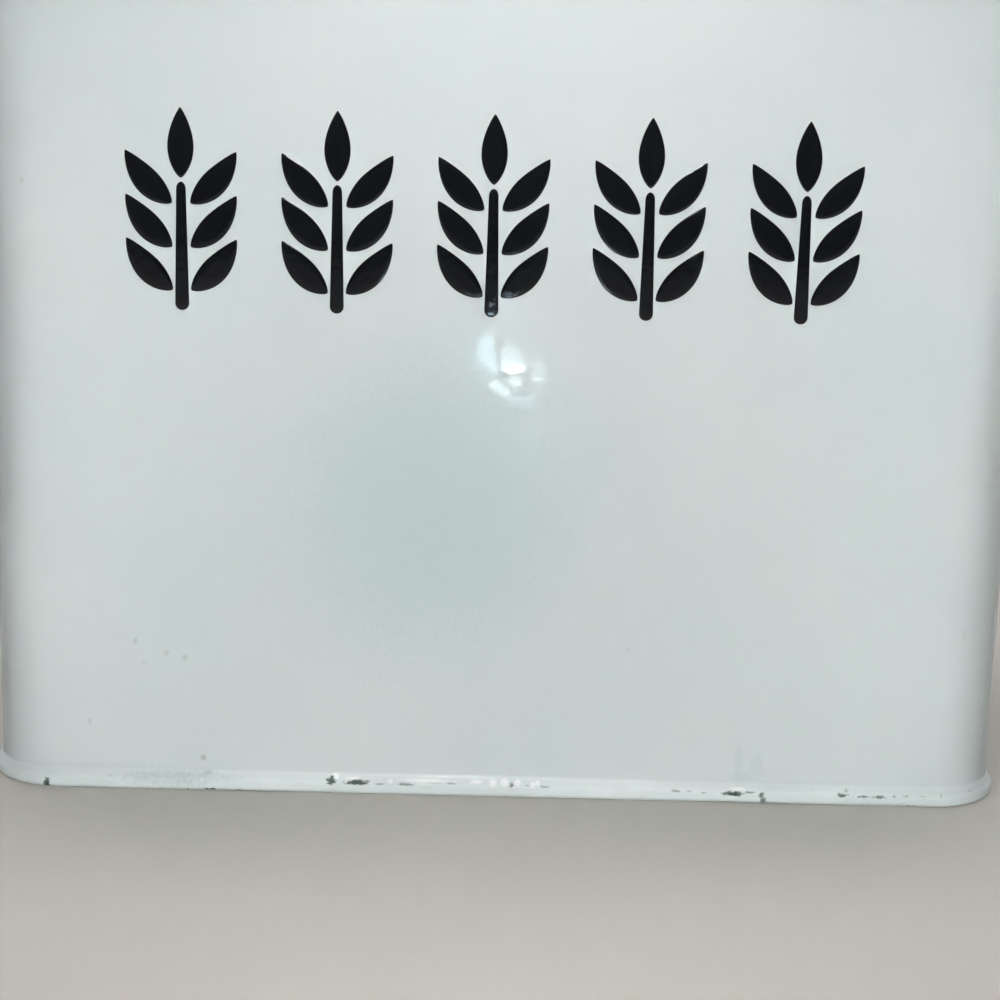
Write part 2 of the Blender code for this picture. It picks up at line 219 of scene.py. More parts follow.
# Where the floor goes over into the white ground: distance from the bin, and depth behind its middle for
# mirrored rays. Each is where that starts and where it ends.
AWAY = (0.45, 2.0)
BEHIND = (-0.3, 0.6)
WHITE = (1.0, 1.0, 1.0, 1.0)

# Heights of the bumps in the coats, lumps to the metre at the edges of spots, and how deep spots reach.
PEEL = 0.02 * MM
CHIP_GRIT = 0.08 * MM
FILM_WAVE = 0.009 * MM
SPOT_GRAIN = 900.0
SPOT_DEPTH = 4 * MM
GLASS_IOR = 1.52

# The coat over the seam: how far it wanders, in cells of what length and height, how far above the fold's
# top the painted highlight on the bead starts and over what height, and the rise from which a drop shows as
# one and takes its painted glint. Rows of the section over which the wander and the rub fade in, and which
# lie on the worn edge and on the ring it wears.
SEAM_WANDER = 0.10 * MM
SEAM_CELL = (9 * MM, 2 * MM)
BEAD_HIGHLIGHT_START = 0.8 * MM
BEAD_HIGHLIGHT_RUN = 1.8 * MM
DROP_SHOWN = 0.12 * MM
WANDER_ROWS = 9
RUB_ROWS = 5
EDGE_ROWS = 8
RING_ROWS = 6

# Gaps: between a curl's end and the wall, and between the floor and the bin.
CURL_GAP = 0.3 * MM
FLOOR_GAP = 0.05 * MM

# Mesh steps: along the front of the seam, the wall's front and its other sides, the seam's other sides and
# the lid. Steps round each upright corner. Stations across the lap, in halves of its width.
SEAM_STEP = 0.45 * MM
FRONT_STEP = 6 * MM
WALL_STEP = 8 * MM
SIDE_STEP = 5 * MM
LID_STEP = 4 * MM
SEAM_CORNERS = (56, 20, 20, 56)
WALL_CORNERS = (24, 24, 24, 24)
LID_CORNERS = (28, 28, 28, 28)
LAP_STATIONS = np.array([-1.12, -1.06, -1.02, -0.98, -0.9, -0.5, 0.0, 0.5, 0.95, 1.0, 1.1])


def linear(hex_colour):
    """Turns an sRGB hex colour into linear red, green and blue."""
    parts = [int(hex_colour[i:i + 2], 16) / 255 for i in (1, 3, 5)]
    return tuple(v / 12.92 if v <= 0.04045 else ((v + 0.055) / 1.055) ** 2.4 for v in parts)


def length(name, description, default):
    """A property that holds a length."""
    return FloatProperty(name=name, description=description, default=default, unit="LENGTH", precision=5)


def angle(name, description, degrees):
    """A property that holds an angle."""
    return FloatProperty(name=name, description=description, default=math.radians(degrees), subtype="ANGLE")


def amount(name, description, default, unit="NONE"):
    """A property that holds a number, with a unit where one fits."""
    return FloatProperty(name=name, description=description, default=default, unit=unit)


def colour(name, description, hex_colour):
    """A property that holds a colour."""
    return FloatVectorProperty(
        name=name, description=description, default=linear(hex_colour), subtype="COLOR", min=0.0, max=1.0
    )


class BinSizes(bpy.types.PropertyGroup):
    """Sizes of the folded sheet."""

    sheet: length("Sheet", "Thickness of the enamelled sheet", 0.0005)
    seam_gap: length("Seam gap", "Clearance between the layers of the folded seam", 0.0002)
    corner_radius: length("Corner radius", "Radius of the upright corners", 0.0230)
    fillet: length("Seam fillet", "How far the coat climbs the wall in the crease above the seam", 0.0028)
    standing_ring: length("Standing ring", "Width of the flat ring that the bin stands on", 0.0120)
    base_rise: length("Base rise", "How far the floor is pressed up inside that ring", 0.0030)
    rim_wire: length("Rim wire", "Radius of the wire in the rim", 0.0015)
    lid_wire: length("Lid wire", "Radius of the wire in the lid's edge", 0.0010)
    wire_gap: length("Wire gap", "Clearance round each wire", 0.00025)
    lid_clearance: length("Lid clearance", "Clearance between the rim and the lid's skirt", 0.0010)
    lid_border: length("Lid border", "Flat border of the lid inside the wall", 0.0100)
    lid_rise: length("Lid rise", "How far the lid's panel is raised", 0.0080)
    panel_radius: length("Panel corner radius", "Radius of the panel's corners", 0.0180)
    lap_width: length("Lap width", "Width of the upright lap in the back", 0.0090)
    waviness: length("Waviness", "How far the flat panels wander from true", 0.00012)
    chip_depth: length("Chip depth", "Depth of a chip in the coat", 0.00016)


class HandleSizes(bpy.types.PropertyGroup):
    """Sizes of the three bow handles and their rivets."""

    reach: length("Reach", "How far the handle stands off its seat", 0.0270)
    span: length("Span", "Length between the feet", 0.0920)
    width: length("Width", "Width of the grip", 0.0160)
    crown: length("Crown", "Rise of the grip's curved back", 0.0038)
    gauge: length("Gauge", "Thickness of the strip", 0.0010)
    foot: length("Foot", "Length of each foot", 0.0250)
    foot_width: length("Foot width", "Width of each foot", 0.0190)
    foot_bend: length("Foot bend", "Radius of the bend at each foot", 0.0080)
    top_bend: length("Top bend", "Radius of the bend at the top of each leg", 0.0160)
    lean: angle("Lean", "Slope of the legs", 68.0)
    seat_gap: length("Seat gap", "Clearance under each foot", 0.0002)
    rivet_pitch: length("Rivet pitch", "Distance between the two rivets of a foot", 0.0100)
    rivet_shank: length("Rivet shank", "Radius of a rivet's shank", 0.0018)
    rivet_head: length("Rivet head", "Radius of a rivet's head", 0.0036)
    rivet_rise: length("Rivet rise", "Height of a rivet's head", 0.0018)
    rivet_tail: length("Rivet tail", "Radius of a rivet's tail", 0.0031)
    rivet_tail_rise: length("Rivet tail rise", "Height of a rivet's tail", 0.0010)


class OrnamentSizes(bpy.types.PropertyGroup):
    """Sizes of the row of wheat ears on the front."""

    count: IntProperty(name="Ears", description="Number of wheat ears in the row", default=5, min=1)
    pitch: length("Pitch", "Distance from ear to ear", 0.0476)
    middle: length("Middle", "Place of the row's middle across the front", -0.0040)
    foot: length("Foot", "Height of the row's foot above the floor", 0.1545)
    height: length("Height", "Height of an ear with its stalk", 0.0610)
    stalk: length("Stalk", "Bare length of the stalk", 0.0062)
    stalk_width: length("Stalk width", "Half width of the stalk", 0.0022)
    grain: length("Grain", "Length of a grain", 0.0210)
    grain_width: length("Grain width", "Half width of a grain", 0.0040)
    gap: length("Gap", "Bare gap between a grain and the stalk", 0.0011)
    coat: length("Coat", "How far the black coat stands off the white one", 0.00007)
    lean: angle("Lean", "Angle of a grain from the stalk", 42.0)


class Finishes(bpy.types.PropertyGroup):
    """Colours of the surfaces."""

    white: colour("White enamel", "Cover coat of white vitreous enamel", "#DEE4E5")
    # Painted shade: the darker colour of a broad patch in the front's middle, where less light falls.
    painted_shade_white: colour("Thin white enamel", "Cover coat that the dark coat greys", "#C8D9D9")
    # Painted glint: the drops are whiter, for the light that they catch.
    drop: colour("Drops", "Drops of cover coat, the thickest and whitest of it", "#F7FBFB")
    # Painted highlight: the seam's bead is lighter, for the light that its curve catches.
    thick: colour("Thick enamel", "Cover coat where it pooled along the seam", "#DFE9E9")
    grey_white: colour("Shaded white enamel", "Where the cover coat is thinner", "#CFDCDD")
    black: colour("Black enamel", "Black vitreous enamel", "#0B0D11")
    thin: colour("Thin coat", "Where the cover coat is rubbed thin over the dark one", "#8A9793")
    ground: colour("Ground coat", "Dark coat under the white one", "#46534F")
    bare: colour("Bare steel", "Steel where both coats are gone", "#4A4C49")
    # Real scuffs and drips, and also painted shade along parts of the seam's crease and bead.
    stain_and_shade: colour("Stain", "Grey-blue scuffs and drips", "#9CAFB3")
    speck: colour("Speck", "Specks fired into the coat", "#8C968F")
    wire: colour("Steel wire", "Drawn steel wire", "#A09C96")
    floor: colour("Floor", "Matt pale floor", "#D6D2CB")


class StageSizes(bpy.types.PropertyGroup):
    """Camera and lamps."""

    focal: amount("Lens", "Focal length", 57.6, "CAMERA")
    camera: FloatVectorProperty(
        name="Camera", description="Place of the camera, measured from the foot of the front",
        default=(0.00143, -0.4951, 0.1845), subtype="TRANSLATION", unit="LENGTH",
    )
    yaw: angle("Yaw", "Turn to the right", -0.161)
    pitch: angle("Pitch", "Tilt down", 9.972)
    roll: angle("Roll", "Turn about the view", 1.322)
    floor_radius: length("Floor", "Radius of the floor", 6.0)
    front_power: amount("Front lamp", "Power of the front softbox", 5.8, "POWER")
    grid: amount("Gridded lamps", "Share of the gridded front lamps' power", 0.97)
    top_power: amount("Top lamp", "Power of the overhead lamp", 6.0, "POWER")
    side_power: amount("Side lamps", "Power of each side lamp", 12.0, "POWER")
    spot_power: amount("Front spot", "Power of the small high lamp in front", 3.0, "POWER")
    glare: amount("Glare", "Brightness of the small lights by the camera", 1.0)
    glare_white: colour("White glare", "Colour of the whitest of them", "#E2F6FA")
    glare_blue: colour("Blue glare", "Colour of the bluest of them", "#C6ECFF")
    sky: amount("Sky", "Strength of the studio's light behind the bin", 0.85)
    dark_end: amount("Dark end", "Strength of the studio's light in front, where it is darkest", 0.05)


def sizes():
    """The sizes and colours that the scene holds."""
    return bpy.context.scene.bin_sizes


def half_width():
    """Half the width over the walls: the base's box less the seam, whose reach is three layers."""
    return PAN_TOP.x - 3 * (sizes().sheet + sizes().seam_gap)


def half_depth():
    """Half the depth over the walls."""
    return PAN_TOP.y - 3 * (sizes().sheet + sizes().seam_gap)


def straights():
    """From the bin's middle to where its corners start, across and deep."""
    return half_width() - sizes().corner_radius, half_depth() - sizes().corner_radius


def smooth(value):
    """Eases 0 to 1 by 3t² - 2t³, with what is outside held at 0 or 1."""
    t = np.clip(value, 0.0, 1.0)
    return t * t * (3 - 2 * t)


def noise(u, v, seed):
    """Smooth noise from 0 to 1: a random number at each point of a square lattice, eased between them.

    Each number is the fraction of a large multiple of a sine, whose turn mixes the point and the seed.
    """
    cell_u, cell_v = np.floor(u), np.floor(v)
    ease_u, ease_v = smooth(u - cell_u), smooth(v - cell_v)

    def lattice(i, j):
        return np.modf(np.abs(np.sin(i * 12.9898 + j * 78.233 + seed * 37.719) * 43758.5453))[0]

    low = lattice(cell_u, cell_v) * (1 - ease_u) + lattice(cell_u + 1, cell_v) * ease_u
    high = lattice(cell_u, cell_v + 1) * (1 - ease_u) + lattice(cell_u + 1, cell_v + 1) * ease_u
    return low * (1 - ease_v) + high * ease_v


def arc(offset, height, radius, start, end, count):
    """Points of an arc in a section: its centre plus radius times (cos, sin), from start to end degrees."""
    turn = np.radians(np.linspace(start, end, count))
    return np.column_stack([offset + radius * np.cos(turn), height + radius * np.sin(turn)])


def run(first, last, count):
    """Points of a straight run, without its ends."""
    share = np.linspace(0.0, 1.0, count + 2)[1:-1, None]
    return (1 - share) * np.array(first) + share * np.array(last)


def ogee(offset, height, drop, lean, count):
    """Two equal arcs that carry a level sheet outwards and down by drop, at that lean where they meet."""
    radius = drop / (2 * (1 - math.cos(math.radians(lean))))
    reach = 2 * radius * math.sin(math.radians(lean))
    upper = arc(offset, height - radius, radius, 90.0, 90.0 - lean, count)
    lower = arc(offset + reach, height - drop + radius, radius, 270.0 - lean, 270.0, count)
    return np.vstack([upper, lower[1:]])


def ogee_reach(drop, lean):
    """How far outwards an ogee of that drop and lean goes."""
    return drop * math.sin(math.radians(lean)) / (1 - math.cos(math.radians(lean)))


def left_of(line, distance):
    """A line moved to its left: each point goes along the mean of its two normals, stretched at corners."""
    way = np.diff(line, axis=0)
    way /= np.linalg.norm(way, axis=1)[:, None]
    normal = np.column_stack([-way[:, 1], way[:, 0]])
    before = np.vstack([normal[:1], normal])
    after = np.vstack([normal, normal[-1:]])
    mean = before + after
    mean /= np.linalg.norm(mean, axis=1)[:, None]
    return line + mean * (distance / np.sum(mean * before, axis=1))[:, None]


def sheet_section(line, gauge, round_start=True, round_end=True, count=7):
    """Both faces of a sheet, out along its left face and back along its right, with half round edges."""
    left, right = left_of(line, gauge / 2), left_of(line, -gauge / 2)
    parts = [left]
    if round_end:
        way = np.degrees(np.arctan2(*(line[-1] - line[-2])[::-1]))
        parts.append(arc(*line[-1], gauge / 2, way + 90.0, way - 90.0, count)[1:-1])
    parts.append(right[::-1])
    if round_start:
        way = np.degrees(np.arctan2(*(line[0] - line[1])[::-1]))
        parts.append(arc(*line[0], gauge / 2, way + 90.0, way - 90.0, count)[1:-1])
    return np.vstack(parts)


class Plan:
    """Stations round the bin's plan, a rectangle with rounded corners, from the front's left end.

    A station stands at m times the corner's centre plus the radius times n. On a corner m is that corner's
    signs and n turns with it. On a side m runs from one corner's signs to the next and n stays square.
    """

    def __init__(self, front, right, back, left, corners):
        signs = np.array([(-1, -1), (1, -1), (1, 1), (-1, 1)], float)
        m, n, side = [], [], []
        for k, shares in enumerate((front, right, back, left)):
            here, there = signs[k], signs[(k + 1) % 4]
            shares = np.asarray(shares, float)[:, None]
            square = math.radians(90.0 * (k - 1))
            m.append((1 - shares) * here + shares * there)
            n.append(np.tile((math.cos(square), math.sin(square)), (len(shares), 1)))
            side.append(np.full(len(shares), k))
            turn = square + np.radians(np.linspace(0.0, 90.0, corners[k] + 1))
            m.append(np.tile(there, (len(turn), 1)))
            n.append(np.column_stack([np.cos(turn), np.sin(turn)]))
            side.append(np.full(len(turn), -1))
        self.m, self.n, self.side = np.vstack(m), np.vstack(n), np.concatenate(side)
        start = self.at(np.zeros((1, 1)), np.zeros((1, 1)), 0.0)[0]
        steps = np.linalg.norm(np.diff(start, axis=0, append=start[:1]), axis=1)
        gone = np.concatenate([[0.0], np.cumsum(steps)[:-1]])
        gone += start[0, 0]
        self.along = np.where(gone > steps.sum() / 2, gone - steps.sum(), gone)

    def at(self, offset, height, least_radius):
        """Points of the sweep, one row for each section point and one column for each station."""
        radius = np.maximum(sizes().corner_radius + offset, least_radius)
        reach_x, reach_y = half_width() + offset - radius, half_depth() + offset - radius
        x = self.m[:, 0] * reach_x + radius * self.n[:, 0]
        y = self.m[:, 1] * reach_y + radius * self.n[:, 1]
        return np.stack([x, y, np.broadcast_to(height, x.shape)], axis=-1)


def even(distance, step):
    """Shares of a side, a step apart, without its ends."""
    count = max(2, int(round(distance / step)))
    return np.linspace(0.0, 1.0, count + 1)[1:-1]


def grid_faces(rows, columns, closed_rows, closed_columns):
    """Quads of a grid of numbered points, row by row."""
    i = np.arange(rows if closed_rows else rows - 1)[:, None]
    j = np.arange(columns if closed_columns else columns - 1)[None, :]
    i_next, j_next = (i + 1) % rows, (j + 1) % columns
    corners = [i * columns + j, i * columns + j_next, i_next * columns + j_next, i_next * columns + j]
    return np.stack([np.broadcast_to(c, (len(i), j.shape[1])) for c in corners], axis=-1).reshape(-1, 4)


def volume(points, faces):
    """Six times the volume inside the faces: the sum of each triangle's triple product."""
    a, b, c, d = (points[faces[:, k]] for k in range(4))
    return np.einsum("ij,ij->", a, np.cross(b, c)) + np.einsum("ij,ij->", a, np.cross(c, d))


def shell_object(name, shells, finish, values=None):
    """One object from closed shells, each a set of points and faces. Faces that look inwards are turned."""
    points, faces, start = [], [], 0
    for shell_points, shell_faces in shells:
        quads = [face for face in shell_faces if len(face) == 4]
        if volume(shell_points, np.array(quads)) < 0:
            shell_faces = [face[::-1] for face in shell_faces]
        points.append(shell_points)
        faces += [[int(k) + start for k in face] for face in shell_faces]
        start += len(shell_points)
    mesh = bpy.data.meshes.new(name)
    mesh.from_pydata(np.vstack(points).tolist(), [], faces)
    for attribute, numbers in (values or {}).items():
        layer = mesh.attributes.new(attribute, "FLOAT", "POINT")
        layer.data.foreach_set("value", np.asarray(numbers, np.float32).ravel())
    mesh.shade_smooth()
    mesh.validate()
    mesh.materials.append(finish)
    made = bpy.data.objects.new(name, mesh)
    bpy.context.scene.collection.objects.link(made)
    return made


def swept_shell(points):
    """A section that closes on itself, swept round the plan, as a shell."""
    rows, columns = points.shape[:2]
    return points.reshape(-1, 3), grid_faces(rows, columns, True, True).tolist()


def poled_shell(points):
    """A grid that closes on itself along its columns, and whose first and last rows are single points."""
    rows, columns = points.shape[:2]
    body = points[1:-1].reshape(-1, 3)
    count = len(body)
    faces = grid_faces(rows - 2, columns, False, True).tolist()
    last = count - columns
    for k in range(columns):
        faces.append([count, (k + 1) % columns, k])
        faces.append([count + 1, last + k, last + (k + 1) % columns])
    return np.vstack([body, points[0, :1], points[-1, :1]]), faces


def level_rings(shares, loop):
    """Rows that shrink a level loop towards the bin's axis by each share, and then to a point on it."""
    shares = np.append(shares, 0.0)[:, None]
    x, y = loop[:, 0] * shares, loop[:, 1] * shares
    return np.stack([x, y, np.broadcast_to(loop[:, 2], x.shape)], axis=-1)


def pad_rows(values, count):
    """Values of a section's points, with zeros for the level rings before and after them."""
    return np.pad(values, ((count, count), (0, 0)))


def with_poles(values):
    """Point values in the order of a poled shell: the grid row by row, and then a zero for each pole."""
    return np.append(values.ravel(), (0.0, 0.0))


def panel_wave(u, v, seed):
    """Wander of a flat panel, from its shares u and v: three low sine waves, faded out at the edges."""
    fade = np.clip(4 * u * (1 - u), 0, 1) * np.clip(4 * v * (1 - v), 0, 1)
    turn = 2 * math.pi
    waves = (
        np.sin(turn * (1.1 * u + 0.4 * v) + seed)
        + 0.6 * np.sin(turn * (0.5 * u - 1.3 * v) + 2.1 * seed)
        + 0.4 * np.sin(turn * (2.3 * u + 1.7 * v) + 3.7 * seed)
    )
    return sizes().waviness * fade * waves


def front_wave(x, z):
    """Wander of the front wall at a place across and up it."""
    straight, _ = straights()
    return panel_wave((x / straight + 1) / 2, (z - PAN_TOP.z) / (WALL_TOP.z - PAN_TOP.z), 1.0)


def seam_lines():
    """Offsets of the seam's four layers, from the wall outwards, and the heights of its two bends."""
    s = sizes()
    layer = s.sheet + s.seam_gap
    wall = -s.sheet / 2
    hook_bend = s.sheet + s.seam_gap + layer + s.sheet / 2
    fold_bend = PAN_TOP.z - layer - s.sheet / 2
    return layer, wall, wall + layer, wall + 2 * layer, wall + 3 * layer, hook_bend, fold_bend


def rim_places():
    """Middle and radius of the rim's curl, and of the curl's middle line."""
    s = sizes()
    radius = s.rim_wire + s.wire_gap + s.sheet / 2
    return -s.sheet / 2 + radius, WALL_TOP.z - radius - s.sheet / 2, radius


def ride(piece, body, slot, *nodes):
    """Puts a piece on its body and hides the nodes that it stands for. The slot is not used."""
    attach(piece, body)
    if nodes:
        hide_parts(*nodes)
    return piece


def make_wall(finish):
    """Body sheet: hook, bend, wall and curled rim, with the panels' wander and the lap in the back."""
    s = sizes()
    layer, wall, _, hook, _, hook_bend, fold_bend = seam_lines()
    curl_offset, curl_height, curl_radius = rim_places()
    straight_x, straight_y = straights()
    hook_run = np.array([(hook, fold_bend)])
    under = arc((wall + hook) / 2, hook_bend, layer, 0.0, -180.0, 13)
    heights = np.linspace(hook_bend, curl_height, 46)[1:-1]
    up = np.column_stack([np.full(len(heights), wall), heights])
    end = -math.degrees(math.acos((CURL_GAP - curl_offset) / (curl_radius + s.sheet / 2)))
    curl = arc(curl_offset, curl_height, curl_radius, 180.0, end, 32)
    section = sheet_section(np.vstack([hook_run, under, up, curl]), s.sheet)

    lap_shares = 0.5 + s.lap_width / 2 / straight_x / 2 * LAP_STATIONS
    back = np.union1d(even(2 * straight_x, WALL_STEP), lap_shares)
    deep = even(2 * straight_y, WALL_STEP)
    plan = Plan(even(2 * straight_x, FRONT_STEP), deep, back, deep, WALL_CORNERS)
    offset, height = np.repeat(section[:, :1], len(plan.along), axis=1), section[:, 1:]
    rise = (height - PAN_TOP.z) / (WALL_TOP.z - PAN_TOP.z)
    on_wall = (np.abs(section[:, :1] - wall) < s.sheet) & (height > PAN_TOP.z)
    run_share = np.where(plan.side % 2 == 0, plan.m[:, 0] + 1, plan.m[:, 1] + 1) / 2
    wander = panel_wave(run_share, rise, 1.0 + np.maximum(plan.side, 0)) * (plan.side >= 0)
    offset = offset + np.where(on_wall, wander, 0.0)
    across = plan.m[:, 0] * straight_x * (plan.side == 2)
    half, edge, fade = s.lap_width / 2, 0.03 * s.lap_width / 2, 2 * MM
    lap = np.clip((across + half) / s.lap_width, 0, 1) * smooth((half + edge - across) / (2 * edge))
    lap = lap * (plan.side == 2)
    ends = smooth((height - PAN_TOP.z - fade) / fade) * smooth((curl_height - 2 * fade - height) / fade)
    outer = section[:, :1] > wall
    offset = offset + s.sheet * lap * ends * (outer & on_wall)
    made = shell_object("body_shell", [swept_shell(plan.at(offset, height, s.sheet))], finish)
    return ride(made, "bin", "white_enamel", "bin_wall")


def chip_share(along, height, chips, seed):
    """How bare the coat is: one less the distance from a chip's middle in its radii, roughened by noise.

    The noise has cells of 0.9 by 0.5 mm and of 0.35 by 0.25 mm.
    """
    place, level = along / MM, height / MM
    rough = noise(place / 0.9, level / 0.5, seed) + 0.5 * noise(place / 0.35, level / 0.25, seed + 5)
    bare = np.zeros(np.broadcast(place, level).shape)
    for x, z, half_length, half_height, much in chips:
        near = 1 - np.hypot((place - x) / half_length, (level - z) / half_height)
        bare = np.maximum(bare, much * smooth((near + (rough - 0.75) * 0.5) / 0.75) * (near > -0.7))
    return bare


def side_chips():
    """Chips round the seam's other three sides, which the same kind of wear has left there."""
    rng = np.random.default_rng(8)
    chips = []
    for _ in range(26):
        place = rng.uniform(190.0, 560.0) * rng.choice((-1, 1))
        size = rng.uniform(0.5, 1.6)
        chips.append((place, rng.uniform(0.2, 3.8), size * rng.uniform(1.0, 2.6), size * 0.5, 1.0))
    return tuple(chips)


def drop_rise(along, height):
    """Rise of the drops of enamel that melted along the crease.

    Each is a dome, one less the squares of the distances in its radii, made uneven by noise of 0.45 mm.
    """
    place, level = along / MM, height / MM
    rise = np.zeros(np.broadcast(place, level).shape)
    for x, z, half_length, half_height, much in SEAM_DROPS:
        near = np.clip(1 - ((place - x) / half_length) ** 2 - ((level - z) / half_height) ** 2, 0, 1)
        rise = np.maximum(rise, much * near * (0.6 + 0.8 * noise(place / 0.45, level / 0.45, x)))
    return rise * MM


def base_section():
    """The base sheet's section, and its rows from which and to which the coat of the seam shows.

    The coat fills the crease between fold and wall with a quadratic curve: (1-t)² times its start on the
    wall, 2t(1-t) times a control point in the crease and t² times its end on the fold.
    """
    s = sizes()
    layer, wall, inner_fold, hook, skin, hook_bend, fold_bend = seam_lines()
    half, bend = s.sheet / 2, (wall + hook) / 2
    lean = 60.0
    floor_edge = -s.standing_ring - ogee_reach(s.base_rise, lean)
    floor = ogee(floor_edge, s.base_rise, s.base_rise, lean, 6)
    top_side = floor + (0, s.sheet)
    corner_in = arc(bend, hook_bend, skin - bend - half, -90.0, 0.0, 5)
    fold_in = arc(hook, fold_bend, layer - half, 0.0, 180.0, 5)
    blunt = 0.1 * MM
    tuck_in = np.array([(inner_fold + half, hook_bend + blunt), (inner_fold, hook_bend - blunt / 2)])
    tuck_out = np.array([(inner_fold - half, hook_bend + blunt), (inner_fold - half, fold_bend)])

    start, sunk, off_wall = 42.0, 0.04 * MM, 0.05 * MM
    turn = math.radians(start)
    apex = np.array([hook, fold_bend]) + (layer + half) * np.array([math.cos(turn), math.sin(turn)])
    climb = np.array([-sunk, PAN_TOP.z + s.fillet])
    before_wall = apex[0] - off_wall
    control = apex + np.array([-math.sin(turn), math.cos(turn)]) * before_wall / math.sin(turn)
    share = np.linspace(0.0, 1.0, 12)[:, None]
    fillet = (1 - share) ** 2 * climb + 2 * share * (1 - share) * control + share**2 * apex
    fold_out = arc(hook, fold_bend, layer + half, start, 0.0, 15)[1:]
    skin_run = run((skin + half, fold_bend), (skin + half, hook_bend), 6)
    corner_out = arc(bend, hook_bend, skin - bend + half, 0.0, -90.0, 12)
    ring = run(corner_out[-1], floor[-1], 4)
    under_side = floor[::-1]

    hidden = np.vstack([top_side, corner_in, fold_in, tuck_in, tuck_out])
    shown = np.vstack([fold_out, skin_run, corner_out])
    section = np.vstack([hidden, fillet, shown, ring, under_side])
    return section, len(hidden), len(hidden) + len(fillet) + len(shown)


def make_base(finish):
    """Base sheet: raised floor, standing ring, the seam's outer skin and fold, and the coat's fillet.

    Chips sink the coat and drops raise it. Each point carries how worn and how rubbed its coat is, how far
    its bead is painted lighter, a painted highlight, and the drops, which are painted whiter, a painted
    glint.
    """
    s = sizes()
    section, first, last = base_section()
    outward = np.zeros_like(section)
    way = np.gradient(section[first:last], axis=0)
    outward[first:last] = np.column_stack([-way[:, 1], way[:, 0]]) / np.linalg.norm(way, axis=1)[:, None]

    straight_x, straight_y = straights()
    front, back = even(2 * straight_x, SEAM_STEP), even(2 * straight_x, SIDE_STEP)
    side = even(2 * straight_y, SIDE_STEP)
    plan = Plan(front, side, back, side, SEAM_CORNERS)
    height = section[:, 1:]
    reach = np.zeros((len(section), 1))
    reach[first + 2:last] = 1.0
    chips = np.maximum(
        chip_share(plan.along, height, SEAM_CHIPS, 3.0), chip_share(plan.along, height, side_chips(), 9.0)
    ) * reach
    drops = drop_rise(plan.along, height) * reach * (1 - chips)
    blend_in = smooth(np.cumsum(reach, axis=0) / WANDER_ROWS) * reach
    uneven = noise(plan.along / SEAM_CELL[0], height / SEAM_CELL[1], 2.0) - 0.5
    move = uneven * SEAM_WANDER * blend_in + drops - s.chip_depth * chips
    offset = section[:, :1] + outward[:, :1] * move
    height = np.maximum(height + outward[:, 1:] * move, 0.0)

    points = plan.at(offset, height, s.sheet)
    shares = (0.985, 0.94, 0.8, 0.6, 0.3)
    points = np.concatenate([level_rings(shares, points[0])[::-1], points, level_rings(shares, points[-1])])
    wear = pad_rows(chips, len(shares))
    worn = np.zeros((len(section), 1))
    worn[last - EDGE_ROWS:last + EDGE_ROWS] = 0.8
    worn[last:last + RING_ROWS] = 1.0
    # Painted highlight: the bead's colour turns lighter from this height down.
    thick = reach * smooth((PAN_TOP.z + BEAD_HIGHLIGHT_START - section[:, 1:]) / BEAD_HIGHLIGHT_RUN)
    # Where the drops are: the material paints them whiter there, a painted glint, and keeps them glossy.
    drop = smooth(drops / DROP_SHOWN)
    rub = smooth(np.cumsum(reach, axis=0) / RUB_ROWS) * reach * (1 - drop)
    values = {"wear": with_poles(wear)}
    for key, band in {"edge": worn, "rub": rub, "thick": thick, "drop": drop}.items():
        values[key] = with_poles(np.broadcast_to(pad_rows(band, len(shares)), wear.shape))
    made = shell_object("base_shell", [poled_shell(points)], finish, values)
    return ride(made, "bin", "white_enamel", "base_pan")


def make_lid(finish):
    """Lid sheet: raised panel, border, shoulder, skirt and curled edge, which carries its wear."""
    s = sizes()
    half = s.sheet / 2
    curl_offset, _, curl_radius = rim_places()
    skirt = curl_offset + curl_radius + half + s.lid_clearance + half
    border = LID_TOP.z - half - s.lid_rise
    shoulder_radius = skirt - curl_offset
    edge_radius = s.lid_wire + s.wire_gap + half
    edge_height = LID_FOOT.z + edge_radius + half
    lean = 70.0
    panel_edge = -s.lid_border - ogee_reach(s.lid_rise, lean)
    panel = ogee(panel_edge, border + s.lid_rise, s.lid_rise, lean, 12)
    shoulder = arc(curl_offset, border - shoulder_radius, shoulder_radius, 90.0, 0.0, 12)
    side = run(shoulder[-1], (skirt, edge_height), 8)
    end = 360.0 + math.degrees(math.acos((half + CURL_GAP - edge_radius) / (edge_radius + half)))
    curl = arc(skirt + edge_radius, edge_height, edge_radius, 180.0, end, 30)
    border_run = run(panel[-1], shoulder[0], 3)
    section = sheet_section(np.vstack([panel, border_run, shoulder, side, curl]), s.sheet, round_start=False)

    straight_x, straight_y = straights()
    wide, deep = even(2 * straight_x, LID_STEP), even(2 * straight_y, LID_STEP)
    plan = Plan(wide, deep, wide, deep, LID_CORNERS)
    points = plan.at(section[:, :1], section[:, 1:], s.panel_radius)
    shares = np.linspace(0.985, 0.06, 18)
    rings = level_rings(shares, points[0])
    under = level_rings(shares, points[-1])
    reach_x = half_width() - s.lid_border
    reach_y = half_depth() - s.lid_border
    for loop in (rings, under):
        loop[..., 2] += panel_wave((loop[..., 0] / reach_x + 1) / 2, (loop[..., 1] / reach_y + 1) / 2, 4.0)
    points = np.concatenate([rings[::-1], points, under])

    on_curl = np.zeros((len(section), 1))
    on_curl[:, 0] = smooth((section[:, 0] - skirt - edge_radius) / edge_radius)
    worn = np.broadcast_to(pad_rows(on_curl, len(shares)), (points.shape[0] - 2, points.shape[1]))
    made = shell_object("lid_shell", [poled_shell(points)], finish, {"edge": with_poles(worn)})
    return ride(made, "lid", "white_enamel", "lid_pressing")


